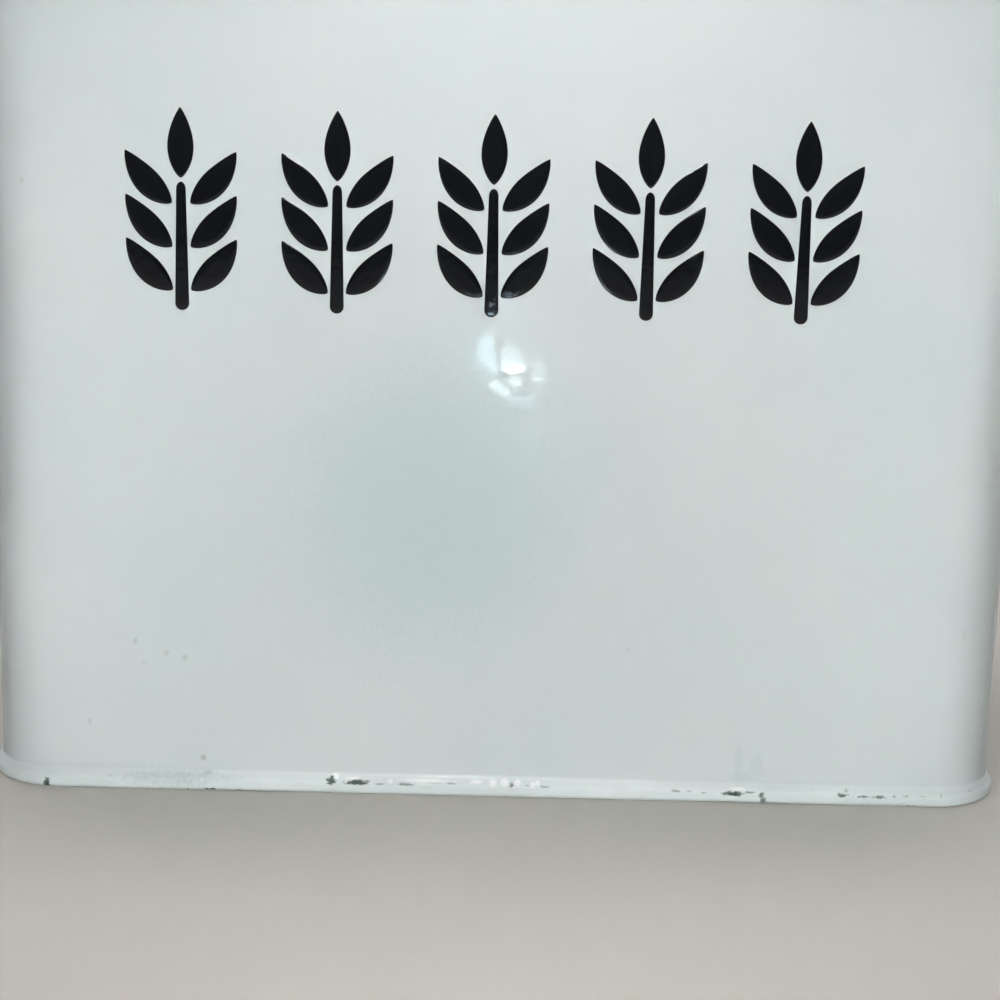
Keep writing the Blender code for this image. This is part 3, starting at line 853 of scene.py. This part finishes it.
def handle_line(h):
    """Middle line of a bow handle, tip to tip: along it, out from its seat, and the share of its crown."""
    lean, low = h.lean, h.seat_gap + h.gauge / 2
    high = h.reach - h.gauge / 2 - h.crown
    bends = h.foot_bend + h.top_bend
    straight = (high - low - bends * (1 - math.cos(lean))) / math.sin(lean)
    tip = h.span / 2 + h.foot
    ease = 1 - np.cos(np.linspace(0, math.pi / 2, 12))
    foot = tip - ease * h.foot_width / 2
    flat = np.linspace(foot[-1], h.span / 2, 8)[1:-1]
    turn = np.linspace(0, lean, 14)
    bend_along = h.span / 2 - h.foot_bend * np.sin(turn)
    bend_out = low + h.foot_bend * (1 - np.cos(turn))
    knee = h.span / 2 - bends * math.sin(lean) - straight * math.cos(lean)
    top_along = knee + h.top_bend * np.sin(turn[::-1])
    top_out = high - h.top_bend * (1 - np.cos(turn[::-1]))
    level = np.linspace(knee, 0.0, 8)[1:]
    along = np.concatenate([foot, flat, bend_along, top_along, level])
    seat, grip = np.full(len(foot) + len(flat), low), np.full(len(level), high)
    out = np.concatenate([seat, bend_out, top_out, grip])
    rising = turn / lean / 2
    crown = np.concatenate([np.zeros(len(seat)), rising, 0.5 + rising, np.ones(len(grip))])
    mirrored = slice(-2, None, -1)
    return (np.concatenate([along, -along[mirrored]]), np.concatenate([out, out[mirrored]]),
            np.concatenate([crown, crown[mirrored]]))


def handle_width(along, h):
    """Half width of the strip: round at the tip, widest on the foot, then eased in to the grip."""
    tip, radius = h.span / 2 + h.foot, h.foot_width / 2
    from_tip = tip - np.abs(along)
    round_end = np.sqrt(np.clip(radius**2 - (radius - from_tip) ** 2, 0, None))
    ease = smooth((from_tip - radius) / (h.foot - radius))
    return np.where(from_tip < radius, round_end, radius + (h.width / 2 - radius) * ease)


def handle_shell(h):
    """A crowned strip lofted along its line: across is the half width times u, and the crown is 1 - u²."""
    along, out, crown = handle_line(h)
    line = np.column_stack([along, out])
    normal = left_of(line, -1.0) - line
    u = np.cos(np.linspace(math.pi, 0, 17))
    edge = np.clip((np.abs(u) - 0.90) / 0.10, 0, 1)
    thick = np.sqrt(1 - edge**2) * h.gauge / 2
    tip = h.span / 2 + h.foot
    blunt = np.sqrt(1 - np.clip(1 - (tip - np.abs(along)) / (h.gauge / 2), 0, 1) ** 2)
    back = (1 - u**2) * h.crown
    u_loop = np.concatenate([u, u[-2:0:-1]])
    rise = back[None, :] * crown[:, None] + thick[None, :] * blunt[:, None]
    fall = back[None, :] * crown[:, None] - thick[None, :] * blunt[:, None]
    loop = np.concatenate([rise, fall[:, -2:0:-1]], axis=1)
    points = np.empty(loop.shape + (3,))
    points[..., 0] = along[:, None] + normal[:, :1] * loop
    points[..., 1] = handle_width(along, h)[:, None] * u_loop
    points[..., 2] = out[:, None] + normal[:, 1:] * loop
    return poled_shell(points)


def rivet_shell(h):
    """A rivet turned about its axis: domed head, shank, and a flat tail with a soft edge."""
    s = sizes()
    seat, tail = h.seat_gap + h.gauge + h.seat_gap, -s.sheet - h.seat_gap
    turn = np.linspace(0, math.pi / 2, 10)
    dome = np.column_stack([h.rivet_head * np.sin(turn), seat + h.rivet_rise * np.cos(turn)])
    shank = np.array([(h.rivet_shank, seat), (h.rivet_shank, tail), (h.rivet_tail * 0.9, tail)])
    soft = h.rivet_tail_rise / 3
    low = tail - h.rivet_tail_rise
    lip = arc(h.rivet_tail - soft, low + soft, soft, 0.0, -90.0, 5)
    profile = np.vstack([dome, shank, [(h.rivet_tail, tail - soft)], lip, [(0.0, low)]])
    spin = np.linspace(0, 2 * math.pi, 32, endpoint=False)
    points = np.empty((len(profile), len(spin), 3))
    points[..., 0] = profile[:, :1] * np.cos(spin)
    points[..., 1] = profile[:, :1] * np.sin(spin)
    points[..., 2] = profile[:, 1:]
    return poled_shell(points)


def on_side(points, side, height):
    """Turns a handle's own axes, along, across and out, on to the left (-1) or right (1) wall."""
    along, across, out = points.T
    return np.column_stack([side * (half_width() + out), side * along, height + across])


def on_lid(points):
    """Puts a handle's own axes on the middle of the lid."""
    return points + np.array([0.0, 0.0, LID_TOP.z])


def make_handle(name, body, place, finish):
    """One handle and its four rivets, moved on to their seat by place."""
    h = bpy.context.scene.handle_sizes
    points, faces = handle_shell(h)
    bow = shell_object(name + "_bow", [(place(points), faces)], finish)
    ride(bow, body, "black_enamel", name)
    middle = h.span / 2 + h.foot / 2
    places = [side * middle + way * h.rivet_pitch / 2 for side in (-1, 1) for way in (-1, 1)]
    rivet_points, rivet_faces = rivet_shell(h)
    for number, along in enumerate(places, 1):
        moved = place(rivet_points + np.array([along, 0.0, 0.0]))
        rivet = shell_object(f"{name}_stud_{number}", [(moved, rivet_faces)], finish)
        ride(rivet, body, "black_enamel", f"{name}_rivet_{number}")


def lens_shell(spine, widths, coat):
    """A low pad of enamel along a line across the front, with those half widths, closed as far behind.

    Its rise is the coat times 1 - u⁸ across it and times the root of 1 - s¹⁶ along it.
    """
    way = np.gradient(spine, axis=0)
    way /= np.linalg.norm(way, axis=1)[:, None]
    side = np.column_stack([way[:, 1], -way[:, 0]])
    u = np.cos(np.linspace(math.pi, 0, 13))
    u_loop = np.concatenate([u, u[-2:0:-1]])
    lift = np.concatenate([coat * (1 - u**8), np.full(len(u) - 2, -coat)])
    lift[[0, len(u) - 1]] = 0.0
    share = (1 - np.cos(np.linspace(0, math.pi, len(spine)))) / 2
    ends = np.sqrt(1 - (2 * share - 1) ** 16)
    x = spine[:, :1] + side[:, :1] * widths[:, None] * u_loop
    z = spine[:, 1:] + side[:, 1:] * widths[:, None] * u_loop
    y = -half_depth() - front_wave(x, z) - ends[:, None] * lift
    return poled_shell(np.stack([x, y, z], axis=-1))


def ear_shells(middle, o):
    """One wheat ear: a stalk, three pairs of leaning grains and one on top, all with bare gaps between.

    A grain's half width is its greatest times sin(pi t^0.85) to the power 0.8, and its line bows outwards by
    a sine.
    """
    bulge, taper, overlap, gap_share = 0.06, 0.35, 0.36, 0.6
    t = (1 - np.cos(np.linspace(0, math.pi, 33))) / 2
    grain_width = o.grain_width * np.sin(math.pi * t**0.85) ** 0.8
    top = o.foot + o.height - o.grain
    stalk = np.column_stack([np.full(len(t), middle), o.foot + t * (top - o.gap - o.foot)])
    ends = np.clip(np.minimum(t, 1 - t) * (top - o.foot) / o.stalk_width, 0, 1)
    stalk_width = o.stalk_width * np.sqrt(1 - (1 - ends) ** 2) * (1 - taper * t)
    shells = [lens_shell(stalk, stalk_width, o.coat)]
    last = top - o.grain * overlap
    for foot in np.linspace(o.foot + o.stalk, last, 3):
        for side in (-1, 1):
            bow = bulge * np.sin(math.pi * t)
            out = (t * math.sin(o.lean) + bow * math.cos(o.lean)) * o.grain
            up = (t * math.cos(o.lean) - bow * math.sin(o.lean)) * o.grain
            line = np.column_stack([middle + side * (o.stalk_width + o.gap * gap_share + out), foot + up])
            shells.append(lens_shell(line, grain_width, o.coat))
    crest = np.column_stack([np.full(len(t), middle), top + t * o.grain])
    shells.append(lens_shell(crest, grain_width, o.coat))
    return shells


def make_ornament(finish):
    """A row of black wheat ears fired on to the front, each a set of low pads of enamel."""
    o = bpy.context.scene.ornament_sizes
    for number in range(o.count):
        middle = o.middle + (number - (o.count - 1) / 2) * o.pitch
        ear = shell_object(f"wheat_ear_{number + 1}", ear_shells(middle, o), finish)
        ride(ear, "bin", "black_enamel")


def feed(tree, node, inputs):
    """Fills or links a node's inputs, by name or number."""
    for key, value in inputs.items():
        if isinstance(value, bpy.types.NodeSocket):
            tree.links.new(value, node.inputs[key])
        else:
            node.inputs[key].default_value = value


def add(tree, kind, inputs=None, **settings):
    """Adds a node, sets its settings, and fills or links its inputs."""
    node = tree.nodes.new(kind)
    for name, value in settings.items():
        setattr(node, name, value)
    feed(tree, node, inputs or {})
    return node


def calc(tree, operation, *values):
    """One step of arithmetic on sockets and numbers."""
    return add(tree, "ShaderNodeMath", dict(enumerate(values)), operation=operation).outputs[0]


def ramp(tree, value, low, high, start=0.0, end=1.0, eased=False):
    """Takes what goes from low to high over to start to end, straight or eased, and holds it beyond them."""
    inputs = {"Value": value, "From Min": low, "From Max": high, "To Min": start, "To Max": end}
    kind = "SMOOTHSTEP" if eased else "LINEAR"
    return add(tree, "ShaderNodeMapRange", inputs, interpolation_type=kind).outputs[0]


def lumps(tree, place, per_metre, detail, roughness=0.5, distortion=0.0):
    """Noise with that many lumps to the metre."""
    return add(tree, "ShaderNodeTexNoise", {
        "Vector": place, "Scale": per_metre, "Detail": detail, "Roughness": roughness,
        "Distortion": distortion,
    }).outputs["Fac"]


def bumped(tree, height, distance, strength=1.0, normal=None):
    """A bump of that distance, on top of another where one is given."""
    inputs = {"Height": height, "Strength": strength, "Distance": distance}
    if normal is not None:
        inputs["Normal"] = normal
    return add(tree, "ShaderNodeBump", inputs).outputs[0]


def point_value(tree, name):
    """The value that the mesh carries under that name."""
    return add(tree, "ShaderNodeAttribute", attribute_name=name).outputs["Fac"]


def mix(tree, share, first, second):
    """Blends two colours by a share, which may each be a socket or a value."""
    node = add(tree, "ShaderNodeMix", {"Factor": share}, data_type="RGBA")
    for key, value in (("A", first), ("B", second)):
        number = next(k for k, i in enumerate(node.inputs) if i.name == key and i.type == "RGBA")
        feed(tree, node, {number: value if isinstance(value, bpy.types.NodeSocket) else (*value, 1.0)})
    return next(o for o in node.outputs if o.type == "RGBA")


def spot_mask(tree, place, spots, edge):
    """Soft spots on the front wall, roughened by a noise: the largest of their shares at each place."""
    fine = lumps(tree, place, SPOT_GRAIN, 3.0)
    total = None
    for x, z, radius_x, radius_z, much in spots:
        centre = (x * MM, -half_depth(), z * MM)
        moved = add(tree, "ShaderNodeVectorMath", {0: place, 1: centre}, operation="SUBTRACT").outputs[0]
        scale = (1 / (radius_x * MM), 1 / SPOT_DEPTH, 1 / (radius_z * MM))
        scaled = add(tree, "ShaderNodeVectorMath", {0: moved, 1: scale}, operation="MULTIPLY").outputs[0]
        far = add(tree, "ShaderNodeVectorMath", {0: scaled}, operation="LENGTH").outputs["Value"]
        rough = calc(tree, "MULTIPLY_ADD", fine, edge, far)
        share = ramp(tree, rough, 0.25 + edge / 2, 1.0 + edge / 2, much, 0.0, eased=True)
        total = share if total is None else calc(tree, "MAXIMUM", total, share)
    return total


def smudged(tree, place, rough):
    """A greasy film in the smudges, and none where it is wiped off.

    The grease fills the fine scratches, so the gloss is sharper under it, but cloudy and a little wavy.
    """
    film = spot_mask(tree, place, SMUDGES, 0.9)
    wiped = spot_mask(tree, place, WIPED, 0.5)
    film = calc(tree, "MULTIPLY", film, calc(tree, "SUBTRACT", 1.0, wiped))
    cloud = ramp(tree, lumps(tree, place, 130.0, 4.0, 0.55, 1.2), 0.42, 0.60, 0.0, 0.012, eased=True)
    cloud = calc(tree, "MULTIPLY", film, cloud)
    filled = calc(tree, "MULTIPLY_ADD", film, -0.7, 1.0)
    rough = calc(tree, "MULTIPLY_ADD", filled, rough, cloud)
    streaks = calc(tree, "MULTIPLY", film, lumps(tree, place, 210.0, 1.0))
    return rough, bumped(tree, streaks, FILM_WAVE)


def new_material(name):
    """An empty node material with its tree, its Principled shader and its object coordinates."""
    made = bpy.data.materials.new(name)
    made.use_nodes = True
    tree = made.node_tree
    place = add(tree, "ShaderNodeTexCoord").outputs["Object"]
    return made, tree, tree.nodes["Principled BSDF"], place


def white_enamel():
    """White vitreous enamel: glass sprayed on and fired over a dark ground coat on sheet steel.

    The firing gives it a clear gloss with a faint orange peel and a few pinholes, and lets it pool in the
    crease and melt to drops there. Its colour is painted lighter along the seam's bead, a painted highlight,
    whiter on the drops, a painted glint, and darker over a broad patch in the front's middle and in parts of
    the seam's crease, a painted shade. Where the white is thin or rubbed the dark coat greys it, and where
    it is chipped the dark coat and then dull steel lie open.
    """
    c = bpy.context.scene.finishes
    made, tree, shader, place = new_material("white_vitreous_enamel")
    # The coat's thickness wanders over about 70 mm.
    body = mix(tree, lumps(tree, place, 14.0, 2.0), c.white, c.grey_white)
    # Painted shade: the front's middle is darker where less light falls.
    body = mix(tree, spot_mask(tree, place, PAINTED_SHADE_PATCHES, 0.6), body, c.painted_shade_white)
    # Painted highlight: the seam's bead is lighter, for the light that its curve catches.
    body = mix(tree, point_value(tree, "thick"), body, c.thick)
    # Real stains and scuffs, and with them painted shade along parts of the seam's crease and bead.
    body = mix(tree, spot_mask(tree, place, STAINS_AND_PAINTED_SHADE, 1.1), body, c.stain_and_shade)
    body = mix(tree, spot_mask(tree, place, SPECKS, 0.25), body, c.speck)
    # Painted glint: the drops are whiter, for the light that they catch.
    body = mix(tree, point_value(tree, "drop"), body, c.drop)
    # Pinholes up to 0.3 mm in radius, one in every fortieth cell of 11 mm.
    cells = add(tree, "ShaderNodeTexVoronoi", {"Vector": place, "Scale": 90.0, "Randomness": 1.0}).outputs
    rare = add(tree, "ShaderNodeSeparateColor", {"Color": cells["Color"]}).outputs["Red"]
    chosen = calc(tree, "GREATER_THAN", rare, 0.975)
    dot = ramp(tree, cells["Distance"], 0.010, 0.028, 0.55, 0.0)
    body = mix(tree, calc(tree, "MULTIPLY", chosen, dot), body, c.ground)

    # Flakes of about 3 mm in groups 40 mm apart along worn edges, and the chips that the mesh carries.
    flakes, groups = lumps(tree, place, 330.0, 3.0), lumps(tree, place, 26.0, 1.0)
    flaked = ramp(tree, calc(tree, "MULTIPLY_ADD", groups, 0.8, flakes), 1.10, 1.22, 0.0, 1.2)
    flaked = calc(tree, "MULTIPLY", flaked, point_value(tree, "edge"))
    wear = calc(tree, "MAXIMUM", flaked, point_value(tree, "wear"))
    # Their edges are ragged by grit of 0.4 mm, coarser than the real crumbs, which are too fine to show.
    grit = lumps(tree, place, 2600.0, 4.0)
    ragged = calc(tree, "MULTIPLY_ADD", grit, 0.5, wear)
    coat_gone = ramp(tree, ragged, 0.42, 0.86, eased=True)
    deep = ramp(tree, ragged, 0.70, 1.12, eased=True)
    steel_shown = ramp(tree, ragged, 1.22, 1.36, eased=True)
    under = mix(tree, steel_shown, mix(tree, deep, c.thin, c.ground), c.bare)

    # Years of wiping have dulled the gloss unevenly, and the seam's fold most of all.
    sheen = ramp(tree, lumps(tree, place, 38.0, 5.0, 0.6, 0.8), 0.35, 0.75, 0.07, 0.12)
    sheen, wavy = smudged(tree, place, sheen)
    sheen = calc(tree, "MULTIPLY_ADD", point_value(tree, "rub"), 0.5, sheen)
    dull = ramp(tree, coat_gone, 0.0, 1.0, 0.0, 0.45)
    # Orange peel with lumps 4 mm apart, and the broken faces of the chips.
    peel = bumped(tree, lumps(tree, place, 260.0, 1.0), PEEL, 0.2, wavy)
    broken = bumped(tree, calc(tree, "MULTIPLY", grit, coat_gone), CHIP_GRIT, 1.0, peel)
    feed(tree, shader, {
        "Base Color": mix(tree, coat_gone, body, under), "Roughness": calc(tree, "ADD", sheen, dull),
        "IOR": GLASS_IOR, "Normal": broken,
    })
    return made


def black_enamel():
    """Black vitreous enamel: one coat of black glass fired on to steel, or on to the white for the ornament.

    The glass is coloured right through, so it is deep and even, with a faint peel and a few dull rubs.
    """
    c = bpy.context.scene.finishes
    made, tree, shader, place = new_material("black_vitreous_enamel")
    lifted = tuple(v * 1.8 for v in c.black)
    colour_out = mix(tree, lumps(tree, place, 60.0, 3.0), c.black, lifted)
    rough = ramp(tree, lumps(tree, place, 70.0, 5.0, 0.6, 0.6), 0.35, 0.75, 0.05, 0.10)
    rough, wavy = smudged(tree, place, rough)
    peel = bumped(tree, lumps(tree, place, 300.0, 1.0), PEEL, 0.6, wavy)
    feed(tree, shader, {"Base Color": colour_out, "Roughness": rough, "IOR": GLASS_IOR, "Normal": peel})
    return made


def drawn_wire():
    """Mild steel wire, drawn through dies and left bare in its curl: dull grey metal with brown oxide."""
    c = bpy.context.scene.finishes
    made, tree, shader, place = new_material("drawn_steel_wire")
    grain = lumps(tree, place, 700.0, 4.0)
    feed(tree, shader, {
        "Base Color": mix(tree, ramp(tree, grain, 0.5, 0.7), c.wire, c.bare),
        "Roughness": ramp(tree, grain, 0.0, 1.0, 0.35, 0.6), "Metallic": 1.0,
    })
    return made


def matt_floor():
    """Board rolled with matt paint, which scatters light evenly and holds a soft shadow.

    It goes over into a white ground with distance, for what is seen of it alone. Mirrored rays see that
    ground behind the bin only, because the studio's end in front is dark.
    """
    c = bpy.context.scene.finishes
    made, tree, shader, place = new_material("matt_painted_board")
    feed(tree, shader, {"Base Color": (*c.floor, 1.0), "Roughness": 0.9, "Specular IOR Level": 0.1})
    far = add(tree, "ShaderNodeVectorMath", {0: place}, operation="LENGTH").outputs["Value"]
    depth = add(tree, "ShaderNodeSeparateXYZ", {0: place}).outputs["Y"]
    path = add(tree, "ShaderNodeLightPath").outputs
    mirrored = calc(tree, "MAXIMUM", path["Is Glossy Ray"], path["Is Transmission Ray"])
    mirrored = calc(tree, "MULTIPLY", mirrored, ramp(tree, depth, *BEHIND, eased=True))
    seen = calc(tree, "MAXIMUM", path["Is Camera Ray"], mirrored)
    share = calc(tree, "MULTIPLY", ramp(tree, far, *AWAY, eased=True), seen)
    ground = add(tree, "ShaderNodeEmission", {"Color": WHITE, "Strength": 1.0}).outputs[0]
    blend = add(tree, "ShaderNodeMixShader", {0: share, 1: shader.outputs[0], 2: ground}).outputs[0]
    tree.links.new(blend, tree.nodes["Material Output"].inputs["Surface"])
    return made


def material(maker):
    """The maker's material, made the first time that it is asked for."""
    names = {
        white_enamel: "white_vitreous_enamel", black_enamel: "black_vitreous_enamel",
        drawn_wire: "drawn_steel_wire", matt_floor: "matt_painted_board",
    }
    return bpy.data.materials.get(names[maker]) or maker()


def add_lamp(name, place, aim, size, power, shape="RECTANGLE"):
    """An area lamp that looks at a point."""
    lamp = bpy.data.lights.new(name, "AREA")
    lamp.shape = shape
    lamp.size, lamp.size_y = size
    lamp.energy = power
    made = bpy.data.objects.new(name, lamp)
    made.location = place
    made.rotation_euler = (Vector(aim) - Vector(place)).to_track_quat("-Z", "Y").to_euler()
    made.visible_camera = False
    bpy.context.scene.collection.objects.link(made)
    return made


def add_lamps(stage):
    """The softboxes, the gridded lamps and the small lights of the glare.

    A disc's light is its power over pi times its area, so the glare's powers keep each light's brightness.
    """
    add_lamp("front_softbox", *LAMPS["front_softbox"], stage.front_power)
    for number, (x, across, height, power) in enumerate(GRIDS, 1):
        place, aim = (x, *GRID_PLACE), (across, GRID_DEPTH, height)
        lamp = add_lamp(f"front_grid_{number}", place, aim, GRID_SIZE, stage.grid * power)
        lamp.data.spread = GRID_SPREAD
    add_lamp("top_lamp", *LAMPS["top_lamp"], stage.top_power)
    for name in ("side_softbox_1", "side_softbox_3"):
        add_lamp(name, *LAMPS[name], stage.side_power)
    white, blue = np.array(stage.glare_white), np.array(stage.glare_blue)
    for number, (x, z, width, height, bright, blueness) in enumerate(GLARES, 1):
        size = (width * MM, height * MM)
        power = stage.glare * bright * math.pi * math.pi / 4 * size[0] * size[1]
        place = (x * MM, GLARE_DEPTH, z * MM)
        lamp = add_lamp(f"glare_light_{number}", place, GLARE_AIM, size, power, "ELLIPSE")
        lamp.data.color = white * (1 - blueness) + blue * blueness
    add_lamp("front_spot", *LAMPS["front_spot"], stage.spot_power)


def add_world(scene, stage):
    """The studio's own light: white behind and above the bin, fading to its dark end in front.

    The camera sees it white all round. What it sheds on the bin is a little weaker than what is seen.
    """
    scene.world = bpy.data.worlds.new("studio")
    scene.world.use_nodes = True
    tree = scene.world.node_tree
    path = add(tree, "ShaderNodeLightPath").outputs
    way = add(tree, "ShaderNodeTexCoord").outputs["Generated"]
    depth = add(tree, "ShaderNodeSeparateXYZ", {0: way}).outputs["Y"]
    strength = ramp(tree, depth, 0.0, 0.9, stage.dark_end, 1.0, eased=True)
    shed = calc(tree, "MULTIPLY_ADD", path["Is Diffuse Ray"], stage.sky - 1.0, 1.0)
    strength = calc(tree, "MULTIPLY", strength, shed)
    seen = calc(tree, "MAXIMUM", path["Is Camera Ray"], path["Is Transmission Ray"])
    strength = add(tree, "ShaderNodeMix", {0: seen, 2: strength, 3: 1.0}).outputs[0]
    feed(tree, tree.nodes["Background"], {"Color": WHITE, "Strength": strength})


def add_camera(stage):
    """The camera of the photograph: its view is turned right, tilted down and then rolled."""
    lens = bpy.data.cameras.new("front_camera")
    lens.lens = stage.focal
    lens.sensor_width = 36.0
    made = bpy.data.objects.new("front_camera", lens)
    yaw, pitch, roll = stage.yaw, stage.pitch, stage.roll
    ahead = Vector((math.sin(yaw) * math.cos(pitch), math.cos(yaw) * math.cos(pitch), -math.sin(pitch)))
    level = Vector((math.cos(yaw), -math.sin(yaw), 0.0))
    upright = level.cross(ahead)
    right = math.cos(roll) * level + math.sin(roll) * upright
    above = -math.sin(roll) * level + math.cos(roll) * upright
    turned = Matrix((right, above, -ahead)).transposed().to_4x4()
    foot = Vector((0.0, -half_depth(), 0.0))
    made.matrix_world = Matrix.Translation(foot + Vector(stage.camera)) @ turned
    bpy.context.scene.collection.objects.link(made)
    bpy.context.scene.camera = made


class BREADBIN_OT_body(bpy.types.Operator):
    """Make the body sheet, with its curled rim and its lap"""

    bl_idname = "breadbin.body"
    bl_label = "Body"

    def execute(self, context):
        make_wall(material(white_enamel))
        return {"FINISHED"}


class BREADBIN_OT_base(bpy.types.Operator):
    """Make the base sheet, with its folded seam and the wear along it"""

    bl_idname = "breadbin.base"
    bl_label = "Base"

    def execute(self, context):
        make_base(material(white_enamel))
        return {"FINISHED"}


class BREADBIN_OT_lid(bpy.types.Operator):
    """Make the lid sheet, with its raised panel and curled edge"""

    bl_idname = "breadbin.lid"
    bl_label = "Lid"

    def execute(self, context):
        make_lid(material(white_enamel))
        return {"FINISHED"}


class BREADBIN_OT_wires(bpy.types.Operator):
    """Finish the wires inside the two curled edges"""

    bl_idname = "breadbin.wires"
    bl_label = "Wires"

    def execute(self, context):
        for node in ("rim_wire", "lid_edge_wire"):
            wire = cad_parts[node]
            wire.data.materials.clear()
            wire.data.materials.append(material(drawn_wire))
        return {"FINISHED"}


class BREADBIN_OT_handles(bpy.types.Operator):
    """Make the three bow handles and their rivets"""

    bl_idname = "breadbin.handles"
    bl_label = "Handles"

    def execute(self, context):
        finish = material(black_enamel)
        height = (LEFT_HANDLE[0].z + LEFT_HANDLE[1].z) / 2
        make_handle("left_handle", "bin", lambda points: on_side(points, -1, height), finish)
        make_handle("right_handle", "bin", lambda points: on_side(points, 1, height), finish)
        make_handle("lid_handle", "lid", on_lid, finish)
        return {"FINISHED"}


class BREADBIN_OT_ornament(bpy.types.Operator):
    """Make the row of wheat ears on the front"""

    bl_idname = "breadbin.ornament"
    bl_label = "Ornament"

    def execute(self, context):
        make_ornament(material(black_enamel))
        return {"FINISHED"}


class BREADBIN_OT_stage(bpy.types.Operator):
    """Make the floor, the lamps, the world and the camera"""

    bl_idname = "breadbin.stage"
    bl_label = "Stage"

    def execute(self, context):
        stage = context.scene.stage_sizes
        bpy.ops.mesh.primitive_circle_add(
            vertices=96, radius=stage.floor_radius, fill_type="NGON", location=(0, 0, -FLOOR_GAP)
        )
        floor = context.active_object
        floor.name = "floor"
        floor.data.materials.append(material(matt_floor))
        add_lamps(stage)
        add_world(context.scene, stage)
        context.scene.view_settings.view_transform = "Standard"
        add_camera(stage)
        return {"FINISHED"}


class BREADBIN_PT_panel(bpy.types.Panel):
    """Lists the sizes, the colours and the makers"""

    bl_idname = "BREADBIN_PT_panel"
    bl_label = "Bread Bin"
    bl_space_type = "VIEW_3D"
    bl_region_type = "UI"
    bl_category = "Bread Bin"

    def draw(self, context):
        for maker in MAKERS:
            self.layout.operator(maker.bl_idname)
        for name, group in GROUPS.items():
            box = self.layout.box()
            box.label(text=group.__doc__)
            for size in group.__annotations__:
                box.prop(getattr(context.scene, name), size)


GROUPS = {
    "bin_sizes": BinSizes,
    "handle_sizes": HandleSizes,
    "ornament_sizes": OrnamentSizes,
    "finishes": Finishes,
    "stage_sizes": StageSizes,
}
MAKERS = (
    BREADBIN_OT_body,
    BREADBIN_OT_base,
    BREADBIN_OT_lid,
    BREADBIN_OT_wires,
    BREADBIN_OT_handles,
    BREADBIN_OT_ornament,
    BREADBIN_OT_stage,
)


def register():
    """Registers the classes, and hangs each group of sizes on the scene."""
    for group in GROUPS.values():
        bpy.utils.register_class(group)
    for name, group in GROUPS.items():
        setattr(bpy.types.Scene, name, PointerProperty(type=group))
    for maker in (*MAKERS, BREADBIN_PT_panel):
        bpy.utils.register_class(maker)


def unregister():
    """Takes the classes and the groups away again."""
    for maker in reversed((*MAKERS, BREADBIN_PT_panel)):
        bpy.utils.unregister_class(maker)
    for name, group in reversed(GROUPS.items()):
        delattr(bpy.types.Scene, name)
        bpy.utils.unregister_class(group)


def main():
    """Makes everything in order."""
    register()
    bpy.ops.breadbin.body()
    bpy.ops.breadbin.base()
    bpy.ops.breadbin.lid()
    bpy.ops.breadbin.wires()
    bpy.ops.breadbin.handles()
    bpy.ops.breadbin.ornament()
    bpy.ops.breadbin.stage()


if __name__ == "__main__":
    main()
